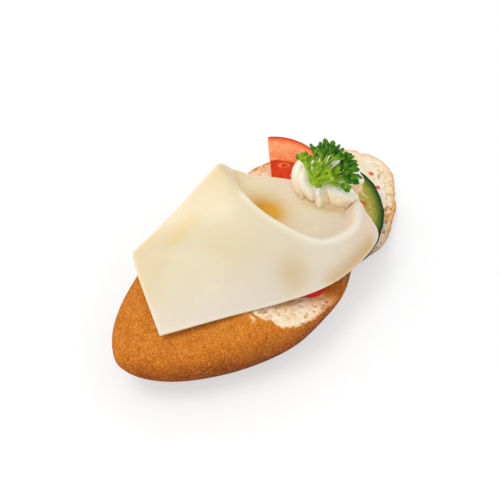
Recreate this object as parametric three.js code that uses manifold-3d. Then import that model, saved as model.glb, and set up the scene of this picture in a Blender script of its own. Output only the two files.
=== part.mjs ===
// Open sandwich: the heel of a soft white loaf, cut on a slope and spread with vegetable
// mayonnaise, then laid with cucumber, tomato and a draped slice of cheese, and finished
// with a piped star of mayonnaise and a sprig of curled parsley.
//
// Millimetres, +Z up. The loaf lies along X, its rounded end towards -X, and the origin is
// in the middle of its flat underside.

import * as THREE from "three";
import { mergeVertices } from "three/addons/utils/BufferGeometryUtils.js";
import Module from "manifold-3d";

const wasm = await Module();
wasm.setup();

// ---------------------------------------------------------------- driving dimensions

const GAP = 0.3; // air left between two pieces that touch

const LOAF = {
  tip: -73, // rounded end
  far: 82, // where the far end would close if it weren't sliced thin
  width: 63,
  height: 30.5,
  waist: 20, // height of the widest line round the loaf
  sink: 1.5, // how much of its round underside is pressed flat
  bend: { depth: 5, from: 70 }, // sideways bow of both ends, this far from the middle
  pinch: { x: 24, depth: 6.5, length: 12 }, // hollow in the near side
  belly: { x: -18, depth: 1.7, length: 19 }, // swelling of the near side
  roundness: { top: 2.2, base: 2.8 }, // powers of the section's superellipse
  tipRound: { width: 57, top: 80, base: 50, widthPower: 1.6, heightPower: 2 },
  farRound: { length: 70, power: 2.15 },
  sections: 34,
  endSection: 0.4, // how far inside the tip the first section lies, in steps
  around: 40,
};

const CUT = { height: 22.9, alongX: -0.27, alongY: 0.22 }; // the sloping cut face

const SPREAD = {
  x: 29.5,
  y: 4.5,
  heading: 0.05,
  length: 90,
  width: 47,
  thickness: 1.7,
  edge: 1, // how far the edge is rounded
  around: 56,
  waves: [
    { depth: 0.03, count: 3, start: 1 },
    { depth: 0.02, count: 7, start: 0 },
  ],
};

const CUCUMBER = {
  x: 33,
  y: -5.3,
  heading: 0.47,
  length: 60,
  width: 36,
  thickness: 4.5,
  edge: 0.5,
  around: 48,
  waves: [],
};

const TOMATO_SLICE = { edge: 0.6, arcSteps: 24, chordSteps: 12 };

const TOMATO_SLICES = {
  tomato_slice_near: { x: -1.8, y: -21.2, lift: 0.5, chord: 19, depth: 6, thickness: 2.4, heading: 3.14 },
  tomato_slice_far: { x: 27, y: -13.5, lift: 7.2, chord: 35, depth: 12, thickness: 2.8, heading: 0.25 },
};

const TOMATO_WEDGE = {
  x: 27.1,
  y: 20.5,
  z: 22.25,
  heading: -0.8,
  lean: -0.06,
  radius: 18.6,
  halfLength: 22,
  length: 18,
  opening: 0.6, // angle between the two cut faces, in radians
  around: 40,
  along: 24,
};

const CHEESE = { thickness: 1.4, edgeTension: 0.14, tension: 0.34, across: 25, along: 24 };

const ROSETTE = {
  x: 35.4,
  y: 0.0,
  z: 23.4,
  radius: 12.9,
  height: 15,
  lobes: 7,
  groove: 0.26, // depth of a groove over the radius
  twist: 0.9, // turn of the lobes from foot to tip, in radians
  swell: { foot: 0.16, tip: 0.94, power: 0.7 }, // part of a half sine wave the outline follows
  perLobe: 8,
  levels: 9,
};

const SPRIG = {
  foot: [25, -1.5, 37.3],
  crown: [34, -3.5, 44],
  sideways: [0.62, -0.78, 0],
  branches: 5,
  fan: 3.6, // angle between the outer branches, in radians
  reach: 10,
  rise: { least: 0.2, part: 0.5 }, // how high a branch climbs, as a part of its reach
  stem: 1,
  taper: 0.8,
  sides: 6,
  leaf: 2.9, // radius of a ruffled tip
  leafHeight: 0.7,
  tips: { turns: [0, 2, 4], apart: 0.75, climb: 0.3, start: -0.6 },
};

// The draped slice follows five guide curves, each from its left edge to its right edge.
// The right edge is short, because that corner of the slice is tucked under the piped star.
const CHEESE_GUIDES = {
  frontEdge: [
    [-60, -2.5, 29.5],
    [-41, -13, 29.6],
    [-20.5, -22, 26.2],
    [5, -29, 22],
    [32, -26, 19.2],
    [37, -16, 24],
  ],
  frontPanel: [
    [-39, 30, 31],
    [-22, 3, 38],
    [-9, -13, 33],
    [6, -24.5, 27.5],
    [30, -23.5, 24.5],
    [36.6, -14.8, 25.8],
  ],
  crest: [
    [-0.8, 23.4, 50],
    [-2, 7.6, 42.8],
    [0.3, -4.7, 36.7],
    [8.2, -18.4, 30.4],
    [24.6, -21, 26.4],
    [36, -13.5, 26.5],
  ],
  hollow: [
    [9.5, 26, 39],
    [7.5, 13, 27.2],
    [8.5, 3, 27],
    [14.5, -9.5, 28],
    [25.5, -12, 26.8],
    [36.3, -11, 26],
  ],
  backEdge: [
    [21.5, 26.5, 26.5],
    [28, 17, 26],
    [32, 8, 26.5],
    [38, 0, 25.5],
    [38.5, -5, 25.3],
    [37, -9, 25.5],
  ],
};

// ---------------------------------------------------------------- finishes

function finish(color, roughness) {
  return new THREE.MeshStandardMaterial({ color, roughness, metalness: 0 });
}

const FINISHES = {
  crust: finish(0xd2873a, 0.7),
  spread: finish(0xe9dcc4, 0.5),
  cucumber: finish(0xb3a64b, 0.35),
  tomato: finish(0xe8592a, 0.3),
  cheese: finish(0xecdcbb, 0.42),
  cream: finish(0xf0e6cf, 0.4),
  parsley: finish(0x4a8a14, 0.55),
};

// ---------------------------------------------------------------- solids

// A geometry's positions, merged, as a manifold-3d solid.
function solidFrom(geometry) {
  const bare = new THREE.BufferGeometry();
  bare.setAttribute("position", geometry.getAttribute("position"));
  bare.setIndex(geometry.getIndex());
  const merged = mergeVertices(bare, 1e-4);
  const vertProperties = merged.getAttribute("position").array;
  const triVerts = new Uint32Array(merged.getIndex().array);
  return new wasm.Manifold(new wasm.Mesh({ numProp: 3, vertProperties, triVerts }));
}

function geometryFrom(solid) {
  const mesh = solid.getMesh();
  const geometry = new THREE.BufferGeometry();
  geometry.setAttribute("position", new THREE.BufferAttribute(mesh.vertProperties, 3));
  geometry.setIndex(new THREE.BufferAttribute(mesh.triVerts, 1));
  geometry.computeVertexNormals();
  return geometry;
}

// A closed skin over rings of equally many points. Both end rings are closed by a fan.
function skinOverRings(rings) {
  const positions = [];
  const index = [];
  const count = rings[0].length;
  for (const ring of rings) {
    for (const point of ring) positions.push(point.x, point.y, point.z);
  }
  for (let row = 0; row + 1 < rings.length; row += 1) {
    for (let i = 0; i < count; i += 1) {
      const next = (i + 1) % count;
      const a = row * count + i;
      const b = row * count + next;
      index.push(a, b, a + count, b, b + count, a + count);
    }
  }
  const last = rings.length - 1;
  closeRing(positions, index, rings[0], 0, true);
  closeRing(positions, index, rings[last], last * count, false);
  const geometry = new THREE.BufferGeometry();
  geometry.setAttribute("position", new THREE.Float32BufferAttribute(positions, 3));
  geometry.setIndex(index);
  return geometry;
}

function closeRing(positions, index, ring, start, turned) {
  const centre = new THREE.Vector3();
  for (const point of ring) centre.addScaledVector(point, 1 / ring.length);
  const hub = positions.length / 3;
  positions.push(centre.x, centre.y, centre.z);
  for (let i = 0; i < ring.length; i += 1) {
    const a = start + i;
    const b = start + ((i + 1) % ring.length);
    if (turned) index.push(hub, b, a);
    else index.push(hub, a, b);
  }
}

// A placed mesh as a solid, one gap higher than it lies.
function raised(mesh) {
  mesh.updateMatrixWorld(true);
  return solidFrom(mesh.geometry.clone().applyMatrix4(mesh.matrixWorld)).translate([0, 0, GAP]);
}

function largestBody(solid) {
  return solid.decompose().reduce((best, body) => (body.volume() > best.volume() ? body : best));
}

function clamp01(value) {
  return Math.min(Math.max(value, 0), 1);
}

// Grows from 0 to 1 over a length, as the outline of a superellipse's end does.
function roundedEnd(distance, length, power) {
  return (1 - clamp01(1 - distance / length) ** power) ** (1 / power);
}

// ---------------------------------------------------------------- bread

// A smooth hump of the given depth, fading away over its length.
function humpAt(x, hump) {
  return hump.depth * Math.exp(-(((x - hump.x) / hump.length) ** 2));
}

function loafRing(x) {
  const fromTip = x - LOAF.tip;
  const tip = LOAF.tipRound;
  const farWidth = roundedEnd(LOAF.far - x, LOAF.farRound.length, LOAF.farRound.power);
  const tipWidth = roundedEnd(fromTip, tip.width, tip.widthPower);
  const halfWidth = (LOAF.width / 2) * tipWidth * farWidth;
  const rise = (LOAF.height - LOAF.waist) * roundedEnd(fromTip, tip.top, tip.heightPower);
  const drop = (LOAF.waist + LOAF.sink) * roundedEnd(fromTip, tip.base, tip.heightPower);
  const middle = LOAF.bend.depth * (x / LOAF.bend.from) ** 2;
  const nearWidth = halfWidth - humpAt(x, LOAF.pinch) + humpAt(x, LOAF.belly);
  const ring = [];
  for (let i = 0; i < LOAF.around; i += 1) {
    const angle = (2 * Math.PI * i) / LOAF.around;
    const upper = Math.sin(angle) > 0;
    const power = 2 / (upper ? LOAF.roundness.top : LOAF.roundness.base);
    const side = Math.sign(Math.cos(angle)) * Math.abs(Math.cos(angle)) ** power;
    const lift = Math.abs(Math.sin(angle)) ** power;
    const z = upper ? LOAF.waist + rise * lift : LOAF.waist - drop * lift;
    const reach = side < 0 ? nearWidth : halfWidth;
    ring.push(new THREE.Vector3(x, middle + reach * side, Math.max(z, 0)));
  }
  return ring;
}

function loafSolid() {
  const rings = [];
  for (let i = 0; i < LOAF.sections; i += 1) {
    const turn = (Math.PI * (i + LOAF.endSection)) / (LOAF.sections - 1 + 2 * LOAF.endSection);
    rings.push(loafRing(LOAF.tip + ((LOAF.far - LOAF.tip) * (1 - Math.cos(turn))) / 2));
  }
  return solidFrom(skinOverRings(rings));
}

function cutHeight(x, y) {
  return CUT.height + CUT.alongX * x + CUT.alongY * y;
}

const CUT_NORMAL = new THREE.Vector3(-CUT.alongX, -CUT.alongY, 1).normalize();

const CUT_TILT = (() => {
  const along = new THREE.Vector3(1, 0, CUT.alongX).normalize();
  const across = new THREE.Vector3().crossVectors(CUT_NORMAL, along);
  const turn = new THREE.Matrix4().makeBasis(along, across, CUT_NORMAL);
  return new THREE.Quaternion().setFromRotationMatrix(turn);
})();

// Everything above the cut face, as a block to take away.
function aboveCut() {
  const size = 400;
  const block = new THREE.BoxGeometry(size, size, size);
  block.translate(0, 0, size / 2);
  block.applyQuaternion(CUT_TILT);
  block.translate(0, 0, CUT.height);
  return solidFrom(block);
}

function breadGeometry() {
  return geometryFrom(loafSolid().subtract(aboveCut()));
}

// ---------------------------------------------------------------- flat pieces on the cut face

// Lays a mesh made round its own origin on the cut face, lifted along the face's normal.
function layOnCut(mesh, at, lift) {
  mesh.position.set(at.x, at.y, cutHeight(at.x, at.y)).addScaledVector(CUT_NORMAL, lift);
  const turn = new THREE.Quaternion().setFromAxisAngle(new THREE.Vector3(0, 0, 1), at.heading);
  mesh.quaternion.copy(CUT_TILT).multiply(turn);
  return mesh;
}

// A plate with a rounded edge: its outline at several heights, drawn in towards the faces.
function softPlate(outline, thickness, edge) {
  const rings = [];
  for (const turn of [-1, -0.5, 0, 0.5, 1]) {
    const angle = (turn * Math.PI) / 2;
    const inset = edge * (1 - Math.cos(angle));
    const z = thickness / 2 + (thickness / 2) * Math.sin(angle);
    rings.push(outline(inset).map((point) => new THREE.Vector3(point.x, point.y, z)));
  }
  return skinOverRings(rings);
}

// A plate with an oval outline, which wanders in and out by its waves.
function ovalPlate({ length, width, thickness, edge, around, waves }) {
  const outline = (inset) => {
    const points = [];
    for (let i = 0; i < around; i += 1) {
      const angle = (2 * Math.PI * i) / around;
      const sway = waves.reduce(
        (sum, { depth, count, start }) => sum + depth * Math.sin(count * angle + start),
        1,
      );
      const x = (length / 2 - inset) * sway * Math.cos(angle);
      points.push(new THREE.Vector2(x, (width / 2 - inset) * sway * Math.sin(angle)));
    }
    return points;
  };
  return softPlate(outline, thickness, edge);
}

// The end piece of a tomato slice: a straight cut in front and an arc of skin behind.
function tomatoSliceGeometry({ chord, depth, thickness }) {
  const half = chord / 2;
  const radius = (half ** 2 + depth ** 2) / (2 * depth);
  const sweep = Math.asin(half / radius);
  const { arcSteps, chordSteps, edge } = TOMATO_SLICE;
  const outline = (inset) => {
    const points = [];
    for (let i = 0; i <= arcSteps; i += 1) {
      const angle = Math.PI / 2 + sweep * (1 - (2 * i) / arcSteps);
      const reach = radius - inset;
      const y = Math.max(reach * Math.sin(angle) - radius + depth, inset);
      points.unshift(new THREE.Vector2(reach * Math.cos(angle), y));
    }
    for (let i = 1; i < chordSteps; i += 1) {
      points.push(new THREE.Vector2((half - inset) * ((2 * i) / chordSteps - 1), inset));
    }
    return points;
  };
  return softPlate(outline, thickness, edge);
}

// ---------------------------------------------------------------- tomato wedge

// A wedge of a long tomato, halved: skin behind, one cut face down and the other facing up.
function tomatoWedgeGeometry() {
  const whole = new THREE.SphereGeometry(1, TOMATO_WEDGE.around, TOMATO_WEDGE.along);
  whole.rotateZ(Math.PI / 2);
  whole.scale(TOMATO_WEDGE.halfLength, TOMATO_WEDGE.radius, TOMATO_WEDGE.radius);
  const reach = 2 * TOMATO_WEDGE.radius;
  const section = new THREE.Shape([
    new THREE.Vector2(0, 0),
    new THREE.Vector2(reach, 0),
    new THREE.Vector2(reach * Math.cos(TOMATO_WEDGE.opening), reach * Math.sin(TOMATO_WEDGE.opening)),
  ]);
  const prism = new THREE.ExtrudeGeometry(section, { depth: TOMATO_WEDGE.length, bevelEnabled: false });
  const turn = new THREE.Matrix4().makeBasis(
    new THREE.Vector3(0, 1, 0),
    new THREE.Vector3(0, 0, 1),
    new THREE.Vector3(1, 0, 0),
  );
  prism.applyMatrix4(turn);
  return geometryFrom(solidFrom(whole).intersect(solidFrom(prism)));
}

// ---------------------------------------------------------------- cheese

function guideCurve(points) {
  const corners = points.map((point) => new THREE.Vector3(...point));
  return new THREE.CatmullRomCurve3(corners, false, "catmullrom", 0.5);
}

const GUIDES = Object.values(CHEESE_GUIDES).map(guideCurve);

// A point of the slice's middle surface: s from left to right, t from front to back.
function cheesePoint(s, t) {
  const crossing = new THREE.CatmullRomCurve3(
    GUIDES.map((guide) => guide.getPoint(s)),
    false,
    "catmullrom",
    CHEESE.edgeTension + (CHEESE.tension - CHEESE.edgeTension) * clamp01(s / 0.3),
  );
  return crossing.getPoint(t);
}

function cheeseNormal(s, t) {
  const step = 0.01;
  const along = cheesePoint(Math.min(s + step, 1), t).sub(cheesePoint(Math.max(s - step, 0), t));
  const across = cheesePoint(s, Math.min(t + step, 1)).sub(cheesePoint(s, Math.max(t - step, 0)));
  return along.cross(across).normalize();
}

// The slice as a closed sheet, grown by clearance on every side.
function cheeseSheet(clearance = 0) {
  const half = CHEESE.thickness / 2 + clearance;
  const { across, along } = CHEESE;
  const positions = [];
  const index = [];
  for (const side of [1, -1]) {
    for (let j = 0; j <= along; j += 1) {
      for (let i = 0; i <= across; i += 1) {
        const s = i / across;
        const t = j / along;
        const point = cheesePoint(s, t).addScaledVector(cheeseNormal(s, t), side * half);
        positions.push(point.x, point.y, point.z);
      }
    }
  }
  const row = across + 1;
  const layer = row * (along + 1);
  for (let j = 0; j < along; j += 1) {
    for (let i = 0; i < across; i += 1) {
      const a = j * row + i;
      const quad = [a, a + 1, a + 1 + row, a + row];
      index.push(quad[0], quad[1], quad[2], quad[0], quad[2], quad[3]);
      const under = quad.map((corner) => corner + layer);
      index.push(under[0], under[2], under[1], under[0], under[3], under[2]);
    }
  }
  const rim = [];
  for (let i = 0; i < across; i += 1) rim.push(i);
  for (let j = 0; j < along; j += 1) rim.push(j * row + across);
  for (let i = across; i > 0; i -= 1) rim.push(along * row + i);
  for (let j = along; j > 0; j -= 1) rim.push(j * row);
  rim.forEach((a, k) => {
    const b = rim[(k + 1) % rim.length];
    index.push(a, a + layer, b + layer, a, b + layer, b);
  });
  const geometry = new THREE.BufferGeometry();
  geometry.setAttribute("position", new THREE.Float32BufferAttribute(positions, 3));
  geometry.setIndex(index);
  return geometry;
}

// ---------------------------------------------------------------- piped star

// A star of thick mayonnaise: round lobes with sharp grooves that turn as they rise.
function rosetteSolid() {
  const rings = [];
  const around = ROSETTE.lobes * ROSETTE.perLobe;
  const { foot, tip, power } = ROSETTE.swell;
  for (let level = 0; level <= ROSETTE.levels; level += 1) {
    const rise = level / ROSETTE.levels;
    const ring = [];
    const swell = Math.sin(Math.PI * THREE.MathUtils.lerp(foot, tip, rise)) ** power;
    for (let i = 0; i < around; i += 1) {
      const angle = (2 * Math.PI * i) / around;
      const lobe = Math.abs(Math.cos((ROSETTE.lobes / 2) * (angle + ROSETTE.twist * rise)));
      const radius = ROSETTE.radius * swell * (1 - ROSETTE.groove * (1 - lobe));
      const x = radius * Math.cos(angle);
      ring.push(new THREE.Vector3(x, radius * Math.sin(angle), ROSETTE.height * rise));
    }
    rings.push(ring);
  }
  const geometry = skinOverRings(rings);
  geometry.translate(ROSETTE.x, ROSETTE.y, ROSETTE.z);
  return solidFrom(geometry);
}

// ---------------------------------------------------------------- parsley

// A tapered limb between two points.
function limb(from, to, startRadius, endRadius) {
  const reach = to.clone().sub(from);
  const geometry = new THREE.CylinderGeometry(endRadius, startRadius, reach.length(), SPRIG.sides);
  geometry.translate(0, reach.length() / 2, 0);
  const turn = new THREE.Quaternion().setFromUnitVectors(
    new THREE.Vector3(0, 1, 0),
    reach.clone().normalize(),
  );
  geometry.applyQuaternion(turn);
  geometry.translate(from.x, from.y, from.z);
  return solidFrom(geometry);
}

// A ruffled leaf tip, as an uneven ball pressed flat.
function leafTip(centre, size) {
  const ball = new THREE.IcosahedronGeometry(size, 1);
  ball.scale(1, 1, SPRIG.leafHeight);
  ball.rotateZ(centre.x);
  ball.translate(centre.x, centre.y, centre.z);
  return solidFrom(ball);
}

// The whole sprig, grown by clearance: branches fan out from one foot, each with three tips.
function sprigSolid(clearance = 0) {
  const foot = new THREE.Vector3(...SPRIG.foot);
  const crown = new THREE.Vector3(...SPRIG.crown);
  const sideways = new THREE.Vector3(...SPRIG.sideways).normalize();
  const thin = SPRIG.stem + clearance;
  const { rise, tips } = SPRIG;
  let sprig = limb(foot, crown, thin, thin);
  for (let i = 0; i < SPRIG.branches; i += 1) {
    const angle = (i / (SPRIG.branches - 1) - 0.5) * SPRIG.fan;
    const reach = crown.clone().addScaledVector(sideways, SPRIG.reach * Math.sin(angle));
    reach.z += SPRIG.reach * rise.part * (Math.cos(angle) - rise.least);
    sprig = sprig.add(limb(foot, reach, thin, thin * SPRIG.taper));
    for (const turn of tips.turns) {
      const height = tips.start + tips.climb * turn;
      const tip = new THREE.Vector3(Math.cos(angle + turn), Math.sin(angle + turn), height);
      tip.multiplyScalar(SPRIG.leaf * tips.apart).add(reach);
      sprig = sprig.add(leafTip(tip, SPRIG.leaf + clearance));
    }
  }
  return sprig;
}

// ---------------------------------------------------------------- the sandwich

function piece(name, geometry, material) {
  const mesh = new THREE.Mesh(geometry, material);
  mesh.name = name;
  return mesh;
}

const group = new THREE.Group();

group.add(piece("bread", breadGeometry(), FINISHES.crust));

const spread = piece("spread", ovalPlate(SPREAD), FINISHES.spread);
group.add(layOnCut(spread, SPREAD, GAP));

const cucumber = piece("cucumber_slice", ovalPlate(CUCUMBER), FINISHES.cucumber);
group.add(layOnCut(cucumber, CUCUMBER, SPREAD.thickness + 2 * GAP));

const tomatoSlices = Object.entries(TOMATO_SLICES).map(([name, slice]) => {
  const mesh = piece(name, tomatoSliceGeometry(slice), FINISHES.tomato);
  return layOnCut(mesh, slice, slice.lift);
});
group.add(...tomatoSlices);

const tomatoWedge = piece("tomato_wedge", tomatoWedgeGeometry(), FINISHES.tomato);
tomatoWedge.position.set(TOMATO_WEDGE.x, TOMATO_WEDGE.y, TOMATO_WEDGE.z);
tomatoWedge.rotation.set(0, TOMATO_WEDGE.lean, TOMATO_WEDGE.heading, "ZYX");
group.add(tomatoWedge);

group.add(piece("cheese_slice", cheeseSheet(), FINISHES.cheese));

// The soft star takes the shape of whatever it sits on, and of the sprig stuck in it.
let star = rosetteSolid().subtract(solidFrom(cheeseSheet(GAP))).subtract(sprigSolid(GAP));
for (const below of [cucumber, tomatoWedge, ...tomatoSlices]) star = star.subtract(raised(below));
group.add(piece("rosette", geometryFrom(largestBody(star).simplify(0.02)), FINISHES.cream));

group.add(piece("parsley_sprig", geometryFrom(sprigSolid()), FINISHES.parsley));

export default group;
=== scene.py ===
# %% [markdown]
# # An open sandwich
# The heel of a soft white loaf is cut on a slope, spread with mayonnaise and laid with cucumber,
# tomato and a draped slice of cheese. A piped star of mayonnaise and a sprig of curled parsley
# finish it. Each cell below makes one helper, one finish or one piece. Sizes are in millimetres
# until a mesh is made, because food is easier to think about in millimetres than in metres.

import bpy
import numpy as np
from mathutils import Matrix, Vector, kdtree, noise


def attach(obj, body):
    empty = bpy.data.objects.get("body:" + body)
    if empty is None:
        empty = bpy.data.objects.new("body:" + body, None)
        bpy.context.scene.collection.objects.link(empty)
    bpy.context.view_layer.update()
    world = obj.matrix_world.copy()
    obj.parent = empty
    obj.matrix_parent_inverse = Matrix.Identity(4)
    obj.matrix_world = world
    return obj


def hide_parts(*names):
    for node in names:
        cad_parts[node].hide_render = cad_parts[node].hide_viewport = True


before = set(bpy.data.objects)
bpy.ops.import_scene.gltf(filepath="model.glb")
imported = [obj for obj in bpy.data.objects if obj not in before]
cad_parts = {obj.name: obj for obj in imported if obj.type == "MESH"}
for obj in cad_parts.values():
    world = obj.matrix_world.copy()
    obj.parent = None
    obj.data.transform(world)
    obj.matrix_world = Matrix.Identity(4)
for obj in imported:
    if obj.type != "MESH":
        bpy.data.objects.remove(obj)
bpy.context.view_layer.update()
MM = 0.001
PER_METRE = 1000


# %% [markdown]
# ## Wires and trees
# A material is a tree of nodes. Writing `1 - mask * 0.4` reads better than three Math nodes made
# by hand, so a wire wraps an output socket and turns Python's operators into Math nodes. The same
# tree helper serves materials and Geometry Nodes.

# %% Node trees as Python expressions
def operator(operation, swapped=False):
    """What a Python operator does to a wire: it adds one Math node."""

    def apply(wire, other):
        pair = (other, wire) if swapped else (wire, other)
        return wire.tree.math(operation, *pair)

    return apply


class Wire:
    """An output socket that works in Python expressions."""

    __add__ = __radd__ = operator("ADD")
    __mul__ = __rmul__ = operator("MULTIPLY")
    __sub__ = operator("SUBTRACT")
    __rsub__ = operator("SUBTRACT", swapped=True)
    __truediv__ = operator("DIVIDE")
    __pow__ = operator("POWER")

    def __init__(self, tree, socket):
        self.tree = tree
        self.socket = socket

    def step(self, low, high):
        """0 below low, 1 above high, and a smooth step between them."""
        sockets = {"Value": self, "From Min": low, "From Max": high}
        return self.tree.add("ShaderNodeMapRange", sockets, interpolation_type="SMOOTHSTEP")

    def clamp(self):
        return self.tree.math("ADD", self, 0.0, use_clamp=True)

# %% [markdown]
# The other half is the tree itself. It adds a node of any type in one line, and joins whatever it
# is given: a wire becomes a link, and a plain value is set on the socket.

# %% A tree that adds and joins nodes
class Tree:
    """A node tree: adds nodes of any type, and joins their sockets."""

    def __init__(self, nodes):
        self.nodes = nodes

    def add(self, kind, sockets=None, out=0, stops=None, **settings):
        node = self.nodes.nodes.new(kind)
        for name, value in settings.items():
            setattr(node, name, value)
        if stops:
            self.set_stops(node.color_ramp.elements, stops)
        for key, value in (sockets or {}).items():
            self.join(value, find_socket(node.inputs, key))
        return Wire(self, find_socket(node.outputs, out))

    def join(self, value, socket):
        if isinstance(value, Wire):
            self.nodes.links.new(value.socket, socket)
        else:
            socket.default_value = value

    def set_stops(self, elements, stops):
        while len(elements) < len(stops):
            elements.new(1.0)
        for element, (position, colour) in zip(elements, stops):
            element.position = position
            element.color = colour

    def math(self, operation, *values, **settings):
        return self.add("ShaderNodeMath", dict(enumerate(values)), operation=operation, **settings)

    def vector(self, x, y, z):
        return self.add("ShaderNodeCombineXYZ", {0: x, 1: y, 2: z})

    def parts(self, vector):
        split = self.add("ShaderNodeSeparateXYZ", {0: vector})
        return [Wire(self, socket) for socket in split.socket.node.outputs]


def find_socket(sockets, key):
    """A socket by its number, its identifier or its name."""
    if isinstance(key, int):
        return sockets[key]
    for socket in sockets:
        if socket.identifier == key:
            return socket
    return sockets[key]


# %% [markdown]
# ## Colours and finishes
# Colours are easier to judge as screen values from 0 to 255, while shaders work in linear light,
# so one small function converts them. A finish holds a Principled BSDF. What is the same all over
# goes straight on the shader's sockets, and only what changes over the surface gets nodes.

# %% Colours and finishes
def screen(red, green, blue):
    """A linear colour from screen values between 0 and 255."""
    values = np.array([red, green, blue]) / 255
    linear = np.where(values <= 0.04045, values / 12.92, ((values + 0.055) / 1.055) ** 2.4)
    return (*linear.tolist(), 1.0)

# %% [markdown]
# A finish is such a tree for one material. It knows its own shader, the place of each point on the
# object, and how to lay coats of paint over each other, the way a cook browns a crust in layers.

# %% One finish
class Finish(Tree):
    """One material: its nodes, and the Principled BSDF they end in."""

    def __init__(self, name, constants):
        self.material = bpy.data.materials.new(name)
        self.material.use_nodes = True
        super().__init__(self.material.node_tree)
        self.shader = self.nodes.nodes["Principled BSDF"]
        for socket, value in constants.items():
            self.shader.inputs[socket].default_value = value
        self.place = self.add("ShaderNodeTexCoord", out="Object")

    def attribute(self, name):
        return self.add("ShaderNodeAttribute", out="Fac", attribute_name=name)

    def clouds(self, size, detail=2.0, rough=0.5, at=None):
        """Soft noise from 0 to 1 with lumps about size millimetres across."""
        sockets = {"Vector": at or self.place, "Scale": PER_METRE / size}
        sockets |= {"Detail": detail, "Roughness": rough}
        return self.add("ShaderNodeTexNoise", sockets)

    def cells(self, size):
        """Distance to scattered points about size millimetres apart, 0 at each point."""
        sockets = {"Vector": self.place, "Scale": PER_METRE / size}
        return self.add("ShaderNodeTexVoronoi", sockets)

    def mix(self, factor, first, second):
        sockets = {"Factor_Float": factor, "A_Color": first, "B_Color": second}
        return self.add("ShaderNodeMix", sockets, out="Result_Color", data_type="RGBA")

    def coats(self, colour, *coats):
        """Coats of paint over a colour: each is a mask from 0 to 1 and its screen values."""
        colour = colour if isinstance(colour, Wire) else screen(*colour)
        for mask, paint in coats:
            colour = self.mix(mask, colour, screen(*paint))
        return colour

    def stretched(self, x, y, z):
        """Object coordinates stretched along each axis."""
        sockets = {0: self.place, 1: (x, y, z)}
        return self.add("ShaderNodeVectorMath", sockets, operation="MULTIPLY")

    def bump(self, height, depth, strength=1.0):
        """Relief: height from 0 to 1, depth in millimetres."""
        sockets = {"Height": height, "Distance": depth * MM, "Strength": strength}
        return self.add("ShaderNodeBump", sockets, out="Normal")

    def end(self, **links):
        """Joins what changes over the surface: colour, roughness, normal or coat."""
        names = {
            "colour": "Base Color",
            "roughness": "Roughness",
            "normal": "Normal",
            "coat": "Coat Weight",
        }
        for name, wire in links.items():
            self.join(wire, self.shader.inputs[names[name]])
        print("finish", self.material.name, len(self.nodes.nodes), "nodes")
        return self.material


def glow(weight, radius, scale):
    """Light that wanders inside soft food: how much, how far each colour goes, in millimetres."""
    return {"Subsurface Weight": weight, "Subsurface Radius": radius, "Subsurface Scale": scale * MM}


# %% [markdown]
# ## Meshes from arrays
# Food has few straight lines, so most pieces here are skins over rings of points: each ring is
# worked out from a few named sizes, and the skin joins ring to ring and closes both ends.

# %% Helpers for arrays of points
SEED_STEP = 17.3


def lumps(points, size, seed):
    """Soft noise from -1 to 1 at each point, with lumps about size millimetres across."""
    places = points / size + seed * SEED_STEP
    return np.array([noise.noise(place) for place in places.tolist()])


def rough(points, *layers):
    """Lumps of several sizes on top of each other: each layer is a depth, a size and a seed."""
    return sum(depth * lumps(points, size, seed) for depth, size, seed in layers)


def unit(vectors):
    """Vectors of length 1 in the same directions."""
    return vectors / np.linalg.norm(vectors, axis=-1, keepdims=True)


def bell(values, middle, width):
    """1 at the middle, fading to 0 on both sides over about the width."""
    return np.exp(-(((values - middle) / width) ** 2))


def full_turn(around):
    return 2 * np.pi * np.arange(around) / around


def nearest_distance(points, places):
    """How far each point is from the nearest of the places."""
    tree = kdtree.KDTree(len(places))
    for number, place in enumerate(places.tolist()):
        tree.insert(place, number)
    tree.balance()
    return np.array([tree.find(point)[2] for point in points.tolist()])

# %% [markdown]
# A skin is only a list of points and a list of faces. Four corners of neighbouring rings make one
# face, and a fan of triangles closes each end. The signed volume tells which way the faces look.

# %% Skins over rings
def skin(rings):
    """Points and faces of a closed skin over rings with equally many points."""
    levels, around = rings.shape[:2]
    ends = np.stack([rings[0].mean(0), rings[-1].mean(0)])
    points = np.concatenate([rings.reshape(-1, 3), ends])
    here = np.arange(around)
    following = (here + 1) % around
    faces = []
    for row in range(levels - 1):
        a, b = row * around + here, row * around + following
        faces += np.stack([a, b, b + around, a + around], 1).tolist()
    first, last = levels * around, (levels - 1) * around
    faces += np.stack([np.full(around, first), following, here], 1).tolist()
    faces += np.stack([np.full(around, first + 1), last + here, last + following], 1).tolist()
    return points, faces


def volume(points, faces):
    """Volume inside the faces, negative when they point inwards."""
    total = 0.0
    for size in {len(face) for face in faces}:
        corners = points[np.array([face for face in faces if len(face) == size])]
        for k in range(1, size - 1):
            normal = np.cross(corners[:, k], corners[:, k + 1])
            total += (corners[:, 0] * normal).sum() / 6
    return total

# %% [markdown]
# Blender shows data, such as a mesh, through an object. These helpers make both, and say which
# body the piece rides on and which part of the plain model it stands for.

# %% Objects from skins
def in_scene(name, data):
    """An object in the scene that shows a mesh, a lamp or a camera."""
    item = bpy.data.objects.new(name, data)
    bpy.context.collection.objects.link(item)
    return item


def make_object(name, material, points, faces, attributes=None):
    """An object with its place in its mesh. Points are in millimetres."""
    if volume(points, faces) < 0:
        faces = [face[::-1] for face in faces]
    mesh = bpy.data.meshes.new(name)
    mesh.from_pydata((points * MM).tolist(), [], faces)
    mesh.shade_smooth()
    for key, values in (attributes or {}).items():
        data = mesh.attributes.new(key, "FLOAT", "POINT").data
        data.foreach_set("value", np.asarray(values, dtype=np.float32))
    mesh.materials.append(material)
    print(name, len(mesh.polygons), "faces")
    return in_scene(name, mesh)


def settle(piece, slot, *nodes):
    """The piece rides on the sandwich and stands for CAD nodes; slot is not used."""
    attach(piece, "root")
    if nodes:
        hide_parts(*nodes)


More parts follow.
